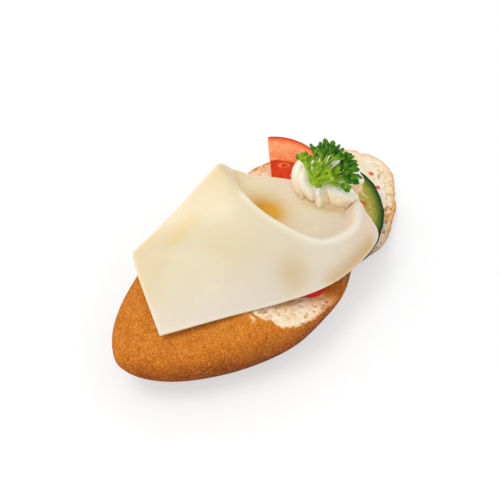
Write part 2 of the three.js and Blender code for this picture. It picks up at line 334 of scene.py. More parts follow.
def joined(parts):
    """Points and faces of many loose parts as one list each."""
    points, faces, start = [], [], 0
    for part_points, part_faces in parts:
        points.append(part_points)
        faces += [[corner + start for corner in face] for face in part_faces]
        start += len(part_points)
    return np.concatenate(points), faces


def smooth_step(values, low, high):
    part = np.clip((values - low) / (high - low), 0, 1)
    return part * part * (3 - 2 * part)


# %% [markdown]
# ## The loaf
# The bread is a soft oblong roll with a rounded end. Its sections are superellipses, fuller than
# an ellipse, and its width and height grow from the tip as a rounded end does. The baker's knife
# took the top off on a slope, so every point of the loaf above that plane is lowered onto it.

# %% Shape of the loaf
LOAF = {
    "tip": -73, "far": 82, "width": 63, "height": 30.5, "waist": 20, "sink": 1.5, "bend": 5,
    "bend_over": 70, "top": 2.2, "base": 2.8,
}
ROUNDING = {"tip": (57, 1.6), "far": (70, 2.15), "rise": (80, 2), "drop": (50, 2)}
# Each change of the near side: where along the loaf, how deep and how long.
NEAR_SIDE = {"pinch": (24, -6.5, 12), "belly": (-18, 1.7, 19)}
CUT = {"height": 22.9, "along_x": -0.27, "along_y": 0.22}


def rounded_end(distance, length, power):
    """Grows from 0 to 1 over a length, as the end of a superellipse does."""
    left = 1 - np.clip(distance / length, 0, 1)
    return (1 - left**power) ** (1 / power)


def cut_height(x, y):
    return CUT["height"] + CUT["along_x"] * x + CUT["along_y"] * y


def loaf_rings(sections, around):
    """Rings of the whole loaf, before the cut. The end rings stop just short of the two tips."""
    turn = np.pi * (np.arange(sections) + 0.15) / (sections - 0.7)
    x = LOAF["tip"] + (LOAF["far"] - LOAF["tip"]) * (1 - np.cos(turn)) / 2
    x = x[:, None]
    from_tip = x - LOAF["tip"]
    half = LOAF["width"] / 2 * rounded_end(from_tip, *ROUNDING["tip"])
    half = half * rounded_end(LOAF["far"] - x, *ROUNDING["far"])
    rise = (LOAF["height"] - LOAF["waist"]) * rounded_end(from_tip, *ROUNDING["rise"])
    drop = (LOAF["waist"] + LOAF["sink"]) * rounded_end(from_tip, *ROUNDING["drop"])
    angle = full_turn(around)[None, :]
    upper = np.sin(angle) > 0
    power = np.where(upper, 2 / LOAF["top"], 2 / LOAF["base"])
    side = np.sign(np.cos(angle)) * np.abs(np.cos(angle)) ** power
    lift = np.abs(np.sin(angle)) ** power
    near = sum(depth * bell(x, at, size) for at, depth, size in NEAR_SIDE.values())
    reach = np.where(side < 0, half + near, half)
    y = LOAF["bend"] * (x / LOAF["bend_over"]) ** 2 + reach * side
    z = np.where(upper, LOAF["waist"] + rise * lift, LOAF["waist"] - drop * lift)
    x = np.broadcast_to(x, y.shape)
    return np.stack([x, y, np.maximum(z, 0)], -1)


# %% [markdown]
# ## Bread
# The skin carries what the eye reads as bread: the crust is smooth with shallow dimples, and the
# cut face is a torn sponge with pits. How far a point lay above the knife, and how far it is from
# the crust, are kept on the mesh as attributes, so the finish can colour the crust's edge.

# %% Cut the rings
TEAR = {"layers": ((1.0, 5, 2), (0.9, 2.0, 3), (0.45, 0.9, 7)), "full_height": 14, "least": 0.2}
SETTLES_OVER = 1.6
CROWDING = 0.65


def cut_rings(rings):
    """Rings with the part above the knife laid onto the cut face, and which points those are.

    Each ring crosses the cut face twice. The points between the two crossings are spread along
    the straight line that joins them, closer together near the crust. The crossings wander up
    and down because the crust tore there, and the face settles onto the knife's plane inwards.
    """
    sections, around = rings.shape[:2]
    flat = rings.reshape(-1, 3)
    torn = rough(flat, *TEAR["layers"]).reshape(sections, around)
    torn = torn * np.clip(rings[..., 2] / TEAR["full_height"], TEAR["least"], 1)
    above = rings[..., 2] - cut_height(rings[..., 0], rings[..., 1]) + torn
    points, on_face, rim = rings.copy(), np.zeros((sections, around)), []
    for k in range(sections):
        h = above[k]
        if h.max() <= 0 or h.min() >= 0:
            continue
        begin = int(np.flatnonzero((h <= 0) & (np.roll(h, -1) > 0))[0])
        turned = (np.arange(around) + begin) % around
        count = int((h > 0).sum())
        last = turned[count]
        share_a = h[begin] / (h[begin] - h[turned[1]])
        share_b = h[last] / (h[last] - h[turned[count + 1]])
        start = rings[k, begin] + share_a * (rings[k, turned[1]] - rings[k, begin])
        end = rings[k, last] + share_b * (rings[k, turned[count + 1]] - rings[k, last])
        part = (np.arange(1, count + 1) - share_a) / (count + share_b - share_a)
        part = (1 - CROWDING) * part + CROWDING * (1 - np.cos(np.pi * part)) / 2
        inner = turned[1 : count + 1]
        chord = start + (end - start) * part[:, None]
        across = np.linalg.norm(end - start) / SETTLES_OVER
        off_a, off_b = start[2] - cut_height(*start[:2]), end[2] - cut_height(*end[:2])
        settled = off_a * np.exp(-part * across) + off_b * np.exp(-(1 - part) * across)
        chord[:, 2] = cut_height(chord[:, 0], chord[:, 1]) + settled
        points[k, inner] = chord
        on_face[k, inner] = 1
        rim += [start, end]
    return points, on_face, np.array(rim)

# %% [markdown]
# The loaf is now cut. What is left is its surface: shallow dimples in the crust, a torn far end,
# and a sponge of relief and pits on the open face. Patches of toasting, and of painted shade where the
# cheese's edge hangs over the crumb, are marked for the finish.

# %% Bread mesh
# Each patch: its place, its reach along each axis and its strength. Those along the cheese's edge
# are painted shade on the crumb, those at the far end are toasted crumb.
TOAST_AND_SHADE = (
    ((-22, -20, 24), (12, 5, 8), 1.6),
    ((4, -27, 15), (11, 6, 7), 1.3),
    ((31, 30, 21), (6, 6, 6), 0.8),
    ((60, -14, 4), (18, 7, 8), 1.3),
    ((73, 2, 3), (6, 10, 6), 0.7),
)


DIMPLES = (0.4, 17, 1)
FAR_END = {"layers": ((0.8, 5, 61), (0.45, 1.8, 62)), "starts": 44, "full": 60, "middle": (40, 0)}
TAB = {"x": 77, "y": 4, "size": 2.4, "length": 1.5}
CRUMB = {"layers": ((0.40, 4.2, 4), (0.26, 1.7, 5)), "from_crust": (0.2, 1.6)}
PITS = {"apart": 2.9, "squeeze": (1.0, 1.45, 1.0), "bend": (0.5, 2.5, 8), "edge": (0.12, 0.40), "depth": 1.2}


def ragged_end(points):
    """The points with the far end torn: pushed in and out, with one small tab."""
    ragged = rough(points, *FAR_END["layers"])
    ragged *= smooth_step(points[:, 0], FAR_END["starts"], FAR_END["full"])
    tab = [bell(points[:, axis], TAB["xy"[axis]], TAB["size"]) for axis in (0, 1)]
    ragged += TAB["length"] * tab[0] * tab[1]
    points[:, :2] += ragged[:, None] * unit(points[:, :2] - FAR_END["middle"])
    return points


def bread_mesh(sections=350, around=282):
    rings = loaf_rings(sections, around)
    bumps = rough(rings.reshape(-1, 3), DIMPLES).reshape(sections, around)
    rings[..., 2] += bumps * (rings[..., 2] > 0.5)
    laid_rings, on_face, rim = cut_rings(rings)
    points, faces = skin(laid_rings)
    on_face = np.concatenate([on_face.ravel(), [0, 0]]) > 0
    inside = np.zeros(len(points))
    inside[on_face] = nearest_distance(points[on_face], rim)
    points = ragged_end(points)

    open_face = smooth_step(inside, *CRUMB["from_crust"])
    relief = rough(points, *CRUMB["layers"])
    cells = (points * PITS["squeeze"] + rough(points, PITS["bend"])[:, None]) / PITS["apart"]
    pits = np.array([noise.voronoi(place)[0][0] for place in cells.tolist()])
    open_crumb = smooth_step(lumps(points, 6, 6), -0.25, 0.25)
    pit = (1 - smooth_step(pits, *PITS["edge"])) * open_crumb * open_face
    room = np.clip(points[:, 2] / 3, 0, 1)
    points[:, 2] += (relief * open_face - PITS["depth"] * pit) * room
    toast_and_shade = sum(
        strength * np.exp(-(np.linalg.norm((points - place) / size, axis=1) ** 2))
        for place, size, strength in TOAST_AND_SHADE
    )
    facts = {"above": on_face.astype(float), "inside": inside / 10, "pit": pit}
    return points, faces, facts | {"toast_and_shade": np.clip(toast_and_shade, 0, 1)}


bread_points, bread_faces, bread_facts = bread_mesh()
print("bread", bread_points.min(0).round(1), bread_points.max(0).round(1))

# %% [markdown]
# A baked crust is never one brown. It is painted palest high up and darkest low on the sides,
# partly its own colour and partly painted shade, and peppered with pale flour specks and small dark
# freckles. The crumb is cream white with a thin brown line where the crust was cut through; its
# pits and pores are painted golden as shade, and painted shade lies where the cheese hangs over it.

# %% Bread finish
def bread_finish():
    finish = Finish("bread_crust_and_crumb", {"Specular IOR Level": 0.04})
    x, y, z = finish.parts(finish.place)
    grain = finish.clouds(0.65, 3.0, 0.7)
    blotch = finish.clouds(9.0, 3.0, 0.6)
    patches = finish.clouds(2.6, 3.0, 0.6)
    # Darker the lower it lies: partly the crust's own colour, partly painted shade. The pale grain below
    # fades with it.
    height = ((z * PER_METRE + (blotch - 0.5) * 9) / 30).clamp()
    crust = finish.add("ShaderNodeValToRGB", {0: height}, stops=[
        (0.0, screen(44, 14, 0)),
        (0.24, screen(68, 24, 0)),
        (0.48, screen(140, 64, 10)),
        (0.74, screen(206, 118, 34)),
        (1.0, screen(222, 140, 50)),
    ])
    flakes = finish.clouds(1.6, 3.0, 0.7, finish.stretched(0.35, 1.0, 1.0)).step(0.60, 0.74)
    specks = (1 - finish.cells(1.5).step(0.10, 0.22)) * finish.clouds(7.0).step(0.4, 0.6)
    crust = finish.coats(
        crust,
        (patches.step(0.35, 0.75) * 0.45, (168, 82, 18)),
        (grain.step(0.50, 0.66) * (height * 0.5 + 0.15), (242, 170, 84)),
        ((1 - grain.step(0.32, 0.50)) * 0.5, (116, 48, 8)),
        (flakes * blotch.step(0.45, 0.6) * 0.5, (236, 176, 96)),
        (specks * 0.35, (246, 190, 108)),
        # Painted shade where the crust meets the floor.
        ((1 - (z * PER_METRE).step(0.0, 2.5)) * 0.7, (56, 22, 3)),
    )

    inside = finish.attribute("inside") * 10
    pit, toast_and_shade = finish.attribute("pit"), finish.attribute("toast_and_shade")
    pores = finish.clouds(1.7, 3.0, 0.7).step(0.57, 0.66) * finish.clouds(5.0).step(0.38, 0.55)
    soft = finish.clouds(3.0, 3.0, 0.6)
    near_side = 1 - ((y * PER_METRE + 10) / 15).clamp()
    x = x * PER_METRE
    # right marks the near side under the cheese's front edge: its orange coat and browner pits are painted
    # shade, its wider crust edge is real.
    right = ((x + 22) / 26).clamp() * (1 - ((x - 22) / 20).clamp()) * near_side
    streaks = finish.clouds(2.4, 3.0, 0.7, finish.stretched(0.5, 1.0, 1.0)).step(0.52, 0.62)
    crumb = finish.coats(
        (255, 242, 218),
        (soft.step(0.3, 0.7), (250, 226, 190)),
        (finish.clouds(7.0).step(0.5, 0.7) * 0.4, (250, 208, 184)),
        # Golden and brown patches: toasted crumb at the far end, painted shade where the cheese's edge hangs
        # over the crumb.
        (toast_and_shade * soft.step(0.40, 0.62) * 0.85, (240, 204, 126)),
        (toast_and_shade * streaks * 0.8, (196, 120, 44)),
        (toast_and_shade * right * soft.step(0.10, 0.42), (214, 120, 42)),
        # Golden pores: painted shade in the holes.
        (pores * (toast_and_shade * 0.55 + 0.3), (220, 154, 52)),
    )
    # Golden pits, browner on the near side: painted shade in the hollows.
    pit_shade = finish.coats((228, 170, 52), (right, (180, 100, 30)))
    crumb = finish.mix(pit.step(0.2, 0.8) * 0.9, crumb, pit_shade)
    rim = (inside + (patches - 0.5) * 2.2).step(0.3, 1.7)
    edge = 1 - (inside - right * 0.9 + (patches - 0.5) * 1.6).step(0.05, 0.6)
    crumb = finish.coats(
        crumb,
        ((1 - rim) * (toast_and_shade * 0.5 + 0.5).clamp(), (236, 176, 92)),
        (edge * (toast_and_shade * 0.6 + 0.35).clamp(), (196, 108, 34)),
    )
    above = finish.attribute("above")
    colour = finish.mix(above, crust, crumb)
    relief = finish.mix(above, grain * 0.7 + patches * 0.6, grain * 0.6 - pores * 0.8)
    return finish.end(colour=colour, roughness=0.62 + above * 0.2, normal=finish.bump(relief, 0.22, 0.55))


bread = make_object("bread_heel", bread_finish(), bread_points, bread_faces, bread_facts)
settle(bread, "crust", "bread")

# %% [markdown]
# ## Pieces laid on the cut face
# The spread, the cucumber and the tomato pieces are flat plates that lie on the slope. Each is
# made flat first, round its own middle, and then tilted and lifted onto the cut face.

# %% Lay a plate on the slope
def slope_frame(heading):
    """Directions along, across and out of the cut face, as the columns of a matrix."""
    out = np.array([-CUT["along_x"], -CUT["along_y"], 1.0])
    out = unit(out)
    along = unit(np.array([1.0, 0.0, CUT["along_x"]]))
    across = np.cross(out, along)
    turned = np.cos(heading) * along + np.sin(heading) * across
    return np.stack([turned, np.cross(out, turned), out], 1)


def laid(points, sizes, lift):
    x, y, axes = sizes["x"], sizes["y"], slope_frame(sizes["heading"])
    return np.array([x, y, cut_height(x, y)]) + lift * axes[:, 2] + points @ axes.T


def oval(sizes, around):
    """Outline of an oval whose edge wanders in waves: each a depth, a count and a start."""
    angle = full_turn(around)
    wander = 1 + sum(depth * np.sin(count * angle + start) for depth, count, start in sizes["waves"])
    across = sizes["length"] / 2 * np.cos(angle), sizes["width"] / 2 * np.sin(angle)
    return np.stack(across, 1) * wander[:, None]


def plate(outline, thickness, edge, steps=46):
    """Rings of a plate with a rounded edge: out along the underside, round, and back on top.

    outline is an array of points round the plate. Returns the rings and, for each ring, how far
    out it lies (0 in the middle, 1 at the edge).
    """
    size = np.linalg.norm(outline, axis=1).mean()
    flat = np.linspace(0.02, 1 - edge / size, steps)
    bend = np.linspace(-np.pi / 2, np.pi / 2, 13)[1:-1]
    scale = np.concatenate([flat, 1 - edge / size * (1 - np.cos(bend)), flat[::-1]])
    rise = np.concatenate([np.zeros(steps), 0.5 + 0.5 * np.sin(bend), np.ones(steps)])
    rings = np.zeros((len(scale), len(outline), 3))
    rings[:, :, :2] = outline[None] * scale[:, None, None]
    rings[:, :, 2] = rise[:, None] * thickness
    return rings, scale


# %% [markdown]
# ## Spread
# Vegetable mayonnaise is smeared with a knife, so its top is a field of shallow strokes and its
# edge wanders. It is nearly white, a little translucent, and stained where the vegetables lie.

# %% Spread
SPREAD = {
    "x": 29.5, "y": 4.5, "length": 90, "width": 47, "thickness": 1.7, "heading": 0.05, "lift": 0.3,
    "edge": 1.6, "waves": ((0.025, 3, 1), (0.018, 7, 0), (0.012, 16, 2), (0.008, 29, 0)),
}


def spread_mesh():
    rings, _ = plate(oval(SPREAD, 300), SPREAD["thickness"], SPREAD["edge"], 60)
    points, faces = skin(rings)
    top = smooth_step(points[:, 2], 0.3, 1.4)
    strokes = 0.28 * lumps(points * [0.35, 1, 1], 5, 11) + 0.15 * lumps(points, 2.2, 12)
    points[:, 2] += top * strokes
    return laid(points, SPREAD, SPREAD["lift"]), faces


def spread_finish():
    finish = Finish("mayonnaise_spread", glow(0.35, (1.0, 0.75, 0.5), 2.5))
    stain = finish.clouds(6.0, 3.0, 0.6)
    rosy = finish.clouds(3.5, 2.0, 0.5, finish.stretched(1.0, 1.3, 1.0))
    colour = finish.coats(
        (255, 244, 224),
        (stain.step(0.42, 0.72), (250, 226, 186)),
        (rosy.step(0.5, 0.72) * 0.6, (252, 206, 178)),
    )
    relief = finish.clouds(1.1, 3.0, 0.6)
    return finish.end(colour=colour, roughness=0.34 + stain * 0.3, normal=finish.bump(relief, 0.12, 0.6))


spread = make_object("mayonnaise_spread", spread_finish(), *spread_mesh())
settle(spread, "spread", "spread")

# %% [markdown]
# ## Cucumber
# A cucumber cut on the slant gives a long oval. Its skin is almost black green, the flesh just
# inside is bright, and the middle turns yellow and glassy with rows of pale seeds. How far out a
# point lies is kept as an attribute, because all of that follows the outline.

# %% Cucumber mesh
CUCUMBER = {
    "x": 33, "y": -5.3, "length": 60, "width": 36, "thickness": 4.5, "heading": 0.47, "edge": 0.5,
    "above_spread": 0.6, "waves": ((0.006, 9, 0), (0.004, 21, 1)), "ribs": 26, "sunk": 0.25,
}


def cucumber_mesh(around=320):
    rings, scale = plate(oval(CUCUMBER, around), CUCUMBER["thickness"], CUCUMBER["edge"], 70)
    points, faces = skin(rings)
    out = np.concatenate([np.repeat(scale, around), [0, 0]])
    turn = np.arctan2(points[:, 1] / CUCUMBER["width"], points[:, 0] / CUCUMBER["length"])
    top = points[:, 2] > CUCUMBER["thickness"] - 0.1
    rib = np.cos(turn * CUCUMBER["ribs"] + 2 * lumps(points, 9, 21)) * smooth_step(out, 0.2, 0.5)
    rib *= 1 - smooth_step(out, 0.74, 0.82)
    points[:, 2] += top * (0.10 * rib - CUCUMBER["sunk"] * (1 - smooth_step(out, 0.55, 0.8)))
    points[:, 2] += top * rough(points, (0.12, 2.5, 22))
    lift = SPREAD["thickness"] + CUCUMBER["above_spread"]
    return laid(points, CUCUMBER, lift), faces, {"out": out, "turn": turn}

# %% [markdown]
# The colours follow the distance from the middle: yellow, then bright green, then nearly black. The
# limits between them wobble a little, because no vegetable is drawn with a compass.

# %% Cucumber finish
def cucumber_finish():
    inner_light = glow(0.2, (0.8, 1.0, 0.3), 2.0)
    finish = Finish("cucumber_flesh_and_skin", inner_light | {"Specular IOR Level": 0.15})
    out, turn = finish.attribute("out"), finish.attribute("turn")
    wobble = (finish.clouds(2.4, 3.0, 0.6) - 0.5) * 0.12
    streaks = finish.clouds(PER_METRE, 2.0, 0.6, finish.vector(turn * 30, out * 7, 0.0))
    pale = finish.clouds(1.5, 3.0, 0.7, finish.stretched(1.0, 0.6, 1.0)).step(0.50, 0.64)
    middle = 1 - (out + wobble).step(0.64, 0.80)
    colour = finish.coats(
        (186, 168, 50),
        (streaks.step(0.3, 0.7), (208, 192, 88)),
        (pale * (middle * 0.7 + 0.2), (244, 236, 178)),
        ((out + wobble).step(0.66, 0.88), (122, 140, 20)),
        ((out + wobble * 0.8).step(0.80, 0.93), (52, 92, 6)),
        ((out + wobble * 0.5).step(0.90, 0.97), (14, 42, 2)),
    )
    relief = streaks * 0.3 + finish.clouds(0.8, 2.0, 0.5) * 0.5
    return finish.end(colour=colour, roughness=0.3 + streaks * 0.22,
                      normal=finish.bump(relief, 0.15, 0.6))


cucumber = make_object("cucumber_oval", cucumber_finish(), *cucumber_mesh())
settle(cucumber, "cucumber", "cucumber_slice")

# %% [markdown]
# ## Tomato
# The two end pieces of a slice only peep out from under the cheese. The wedge at the back shows
# its cut face: a pale, fleshy wall under the skin, and below it the seed pocket, a deep orange
# jelly that catches the light. The jelly is sunk a little, and seeds swell in it.

# %% Tomato slice mesh
TOMATO_SLICES = {
    "tomato_slice_near": {
        "x": -1.8, "y": -21.2, "lift": 0.5, "chord": 19, "depth": 6, "thickness": 2.4, "heading": 3.14,
        "edge": 0.6,
    },
    "tomato_slice_far": {
        "x": 27, "y": -13.5, "lift": 7.2, "chord": 35, "depth": 12, "thickness": 2.8, "heading": 0.25,
        "edge": 0.6,
    },
}


def tomato_slice_mesh(sizes):
    half, depth, thickness = sizes["chord"] / 2, sizes["depth"], sizes["thickness"]
    radius = (half**2 + depth**2) / (2 * depth)
    sweep = np.arcsin(half / radius)
    angle = np.pi / 2 + sweep * np.linspace(-1, 1, 120)
    arc = np.stack([radius * np.cos(angle), radius * np.sin(angle) - radius + depth], 1)
    x = np.linspace(-half, half, 81)[1:-1]
    outline = np.concatenate([arc, np.stack([x, np.zeros_like(x)], 1)])
    middle = np.array([0, depth * 0.45])
    rings, _ = plate(outline - middle, thickness, sizes["edge"], 30)
    points, faces = skin(rings)
    points[:, :2] += middle
    points[:, 2] += rough(points, (0.12, 2.0, 31)) * (points[:, 2] > thickness - 0.1)
    from_centre = np.hypot(points[:, 0], points[:, 1] + radius - depth)
    plain = np.zeros(len(points))
    facts = {"under_skin": np.clip((radius - from_centre) / 18, 0, 1), "jelly": plain}
    facts |= {"seed_highlight": plain, "along": points[:, 0] / 20}
    return laid(points, sizes, sizes["lift"]), faces, facts

# %% [markdown]
# One finish serves all three pieces. It reads how deep under the skin a point lies, and where the
# jelly is. The two slices show no jelly, so that attribute is 0 all over them.

# %% Tomato finish and slices
def tomato_finish():
    inner_light = glow(0.15, (1.0, 0.25, 0.1), 1.5)
    surface = {"Specular IOR Level": 0.15, "Coat Roughness": 0.06}
    finish = Finish("tomato_flesh_skin_and_jelly", inner_light | surface)
    under = finish.attribute("under_skin") * 10
    jelly, along = finish.attribute("jelly"), finish.attribute("along")
    fibres = finish.clouds(PER_METRE, 3.0, 0.65, finish.vector(along * 9, under * 1.6, 0.0))
    mottle = finish.clouds(2.6, 3.0, 0.6)
    wall = finish.coats(
        (252, 154, 96),
        ((under + (mottle - 0.5) * 3).step(3.0, 8.0), (250, 124, 58)),
        (fibres.step(0.45, 0.70) * 0.55, (255, 196, 156)),
        (mottle.step(0.45, 0.7) * 0.4, (255, 190, 148)),
        (1 - (under + (fibres - 0.5) * 1.6).step(0.3, 3.0), (238, 94, 40)),
        (1 - under.step(0.1, 0.9), (204, 26, 2)),
    )
    pulp = finish.coats(
        (220, 44, 0),
        (mottle.step(0.3, 0.7), (238, 76, 0)),
        # Painted highlight: a pale ring round each seed.
        (finish.attribute("seed_highlight"), (255, 178, 130)),
    )
    colour = finish.mix(jelly, wall, pulp)
    relief = fibres * 0.7 + finish.clouds(0.7, 2.0, 0.5) * 0.3
    return finish.end(colour=colour, roughness=0.36 - jelly * 0.26,
                      normal=finish.bump(relief, 0.12, 0.5), coat=0.04 + jelly * 0.16)


tomato_paint = tomato_finish()
for name, sizes in TOMATO_SLICES.items():
    piece = make_object(f"{name}_cut", tomato_paint, *tomato_slice_mesh(sizes))
    settle(piece, "tomato", name)

# %% [markdown]
# The wedge is a stack of sections along its length, each a slice of a circle. The circle shrinks
# towards the end of the fruit, and the sections next to both ends are drawn in to round the edges.

# %% Tomato wedge
WEDGE = {
    "place": (27.1, 20.5, 22.25), "heading": -0.80, "lean": -0.06, "radius": 18.6, "half_length": 22,
    "length": 18, "opening": 0.6, "wall": 9.0, "sunk": 0.9,
}
SEEDS = {"places": ((5.4, 6.8), (12.8, 6.4), (9.4, 2.8), (15.6, 3.0)), "size": (2.5, 1.25), "height": 0.85}


def wedge_mesh(stations=90):
    """A wedge of a long tomato, halved, as sections along its length."""
    radius, opening = WEDGE["radius"], WEDGE["opening"]
    flat, arc = 110, 60
    out = np.linspace(0, 1, flat, endpoint=False)
    turn = np.concatenate([np.zeros(flat), np.linspace(0, opening, arc, endpoint=False),
                           np.full(flat, opening)])
    reach = np.concatenate([out, np.ones(arc), out[::-1] + 1 / flat])
    inset = 0.7 * np.array([1, 0.6, 0.3, 0.1])
    x = np.concatenate([[0, 0.1, 0.35, 0.75], np.linspace(1.1, WEDGE["length"] - 1.1, stations),
                        WEDGE["length"] - np.array([0.75, 0.35, 0.1, 0])])
    shrink = np.concatenate([inset * 0.5, np.zeros(stations), inset[::-1]])
    middle = np.array([0.62 * np.cos(opening / 2), 0.62 * np.sin(opening / 2)]) * radius
    rings = np.zeros((len(x), len(turn), 3))
    for k, (place, drawn_in) in enumerate(zip(x, shrink)):
        size = radius * np.sqrt(1 - (place / WEDGE["half_length"]) ** 2)
        section = np.stack([reach * size * np.cos(turn), reach * size * np.sin(turn)], 1)
        section -= unit(section - middle) * drawn_in
        rings[k, :, 0], rings[k, :, 1:] = place, section
    points, faces = skin(rings)
    x, out = points[:, 0], np.hypot(points[:, 1], points[:, 2])
    size = radius * np.sqrt(1 - (np.clip(x, 0, 21) / WEDGE["half_length"]) ** 2)
    under = size - out
    upper = np.arctan2(points[:, 2], np.maximum(points[:, 1], 1e-6)) > opening * 0.97
    edge = under - WEDGE["wall"] + rough(points, (0.5, 3.5, 41))
    jelly = upper * smooth_step(edge, 0.0, 0.7) * smooth_step(x, -0.5, 0.2)
    normal = np.array([0, -np.sin(opening), np.cos(opening)])
    seeds, seed_highlight = np.zeros(len(points)), np.zeros(len(points))
    for seed_x, seed_out in SEEDS["places"]:
        far = np.hypot((x - seed_x) / SEEDS["size"][0], (out - seed_out) / SEEDS["size"][1])
        seeds += smooth_step(1 - far, 0.0, 0.5) - 0.8 * smooth_step(1 - far, 0.4, 0.8)
        # A pale ring round each seed, for a painted highlight.
        seed_highlight += bell(far, 0.72, 0.16)
    depth = -WEDGE["sunk"] * jelly + SEEDS["height"] * seeds * jelly + rough(points, (0.10, 2.2, 42)) * upper
    depth *= smooth_step(x, 0.0, 0.8)
    points = points + depth[:, None] * normal
    turned = Matrix.Rotation(WEDGE["heading"], 3, "Z") @ Matrix.Rotation(WEDGE["lean"], 3, "Y")
    points = points @ np.array(turned).T + np.array(WEDGE["place"])
    facts = {"under_skin": np.clip(under / 10, 0, 1), "jelly": jelly}
    facts |= {"seed_highlight": np.clip(seed_highlight, 0, 1) * jelly * 0.7, "along": x / 20}
    return points, faces, facts


wedge = make_object("tomato_wedge_cut", tomato_paint, *wedge_mesh())
settle(wedge, "tomato", "tomato_wedge")

# %% [markdown]
# ## Cheese
# A slice of processed cheese bends softly but keeps its crest where it was folded over. It is
# drawn as a sheet through five guide curves, from its front edge to its back edge. A Catmull-Rom
# spline runs along each guide and another one crosses them. Averaging neighbouring points then
# takes out the last stiffness, and the sheet gets its thickness with a rounded edge.

# %% Cheese guides
CHEESE_THICKNESS = 1.4
CHEESE_GUIDES = np.array([
    [(-60, -2.5, 29.5), (-41, -13, 29.6), (-20.5, -22, 26.2), (5, -29, 22), (32, -26, 19.2),
     (37, -16, 24)],
    [(-39, 30, 31), (-22, 3, 38), (-9, -13, 33), (6, -24.5, 27.5), (30, -23.5, 24.5),
     (36.6, -14.8, 25.8)],
    [(-0.8, 23.4, 50), (-2, 7.6, 42.8), (0.3, -4.7, 36.7), (8.2, -18.4, 30.4), (24.6, -21, 26.4),
     (36, -13.5, 26.5)],
    [(9.5, 26, 39), (7.5, 13, 27.2), (8.5, 3, 27), (14.5, -9.5, 28), (25.5, -12, 26.8),
     (36.3, -11, 26)],
    [(21.5, 26.5, 26.5), (28, 17, 26), (32, 8, 26.5), (38, 0, 25.5), (38.5, -5, 25.3),
     (37, -9, 25.5)],
])


def spline(knots, where, tension):
    """A Catmull-Rom curve through the first axis of knots, at each place from 0 to 1."""
    first, last = 2 * knots[0] - knots[1], 2 * knots[-1] - knots[-2]
    padded = np.concatenate([first[None], knots, last[None]])
    at = where * (len(knots) - 1)
    index = np.minimum(at.astype(int), len(knots) - 2)
    w = (at - index).reshape(-1, *[1] * (knots.ndim - 1))
    p0, p1, p2, p3 = (padded[index + k] for k in range(4))
    t0, t1 = tension * (p2 - p0), tension * (p3 - p1)
    cubic = 2 * p1 - 2 * p2 + t0 + t1
    square = -3 * p1 + 3 * p2 - 2 * t0 - t1
    return p1 + w * (t0 + w * (square + w * cubic))


def cheese_middle(along=208, across=226):
    """The sheet's middle surface: rows from front to back, columns from left to right."""
    s, t = np.linspace(0, 1, along), np.linspace(0, 1, across)
    curves = np.stack([spline(guide, s, 0.5) for guide in CHEESE_GUIDES])
    tension = (0.14 + 0.20 * np.clip(s / 0.3, 0, 1))[None, :, None]
    return spline(curves, t, tension)


def relaxed(grid, rounds):
    """Averages each inner point with its neighbours, and leaves the edges alone."""
    for _ in range(rounds):
        around = grid[:-2, 1:-1] + grid[2:, 1:-1] + grid[1:-1, :-2] + grid[1:-1, 2:]
        grid[1:-1, 1:-1] = 0.5 * grid[1:-1, 1:-1] + 0.125 * around
    return grid

# %% [markdown]
# The sheet has no thickness yet. It gets one by moving its points out along the normals to both
# sides, and three more rows of points round the rim make the edge soft instead of sharp.

# %% Skin round a sheet
ROUNDED_EDGE = {"turns": (0.3 * np.pi, 0.0, -0.3 * np.pi), "reach": 0.35}


def sheet_skin(middle, thickness):
    """A closed sheet with a rounded edge round a grid of middle points."""
    normal = unit(np.cross(np.gradient(middle, axis=1), np.gradient(middle, axis=0)))
    rows, columns = middle.shape[:2]
    upper = middle + normal * thickness / 2
    lower = middle - normal * thickness / 2
    index = np.arange(rows * columns).reshape(rows, columns)
    quads = np.stack([index[:-1, :-1], index[:-1, 1:], index[1:, 1:], index[1:, :-1]], -1)
    quads = quads.reshape(-1, 4)
    points = [upper.reshape(-1, 3), lower.reshape(-1, 3)]
    faces = quads.tolist() + (quads[:, ::-1] + rows * columns).tolist()
    rim = np.concatenate([index[0, :-1], index[:-1, -1], index[-1, :0:-1], index[:0:-1, 0]])
    along_rim, out_of_sheet = middle.reshape(-1, 3)[rim], normal.reshape(-1, 3)[rim]
    outward = unit(np.cross(np.roll(along_rim, -1, 0) - np.roll(along_rim, 1, 0), out_of_sheet))
    start = 2 * rows * columns
    loops = [rim]
    for turn in ROUNDED_EDGE["turns"]:
        height, out = np.sin(turn), np.cos(turn)
        ring = along_rim + out_of_sheet * height * thickness / 2
        points.append(ring + outward * out * thickness * ROUNDED_EDGE["reach"])
        loops.append(np.arange(len(rim)) + start)
        start += len(rim)
    loops.append(rim + rows * columns)
    for a, b in zip(loops, loops[1:]):
        faces += np.stack([a, b, np.roll(b, -1), np.roll(a, -1)], 1).tolist()
    on_rim = np.zeros(len(ROUNDED_EDGE["turns"]) * len(rim))
    from_edge = np.concatenate([np.tile(edge_distance(middle).ravel(), 2), on_rim])
    return np.concatenate(points), faces, from_edge


def edge_distance(middle):
    """How far each point of the grid is from the sheet's nearest edge, along the sheet."""
    nearest = np.full(middle.shape[:2], np.inf)
    for axis in (0, 1):
        step = np.linalg.norm(np.diff(middle, axis=axis), axis=2)
        from_start = np.cumsum(step, axis=axis)
        pad = np.zeros_like(np.take(from_start, [0], axis=axis))
        from_start = np.concatenate([pad, from_start], axis=axis)
        to_end = np.take(from_start, [-1], axis=axis) - from_start
        nearest = np.minimum(nearest, np.minimum(from_start, to_end))
    return nearest

# %% [markdown]
# Painted shade, painted light and a few streaks are laid where they lie, and not all over. Each
# helper gives 1 at a place and fades to 0 away from it. Three axes turned towards the viewer make
# them easy to aim.

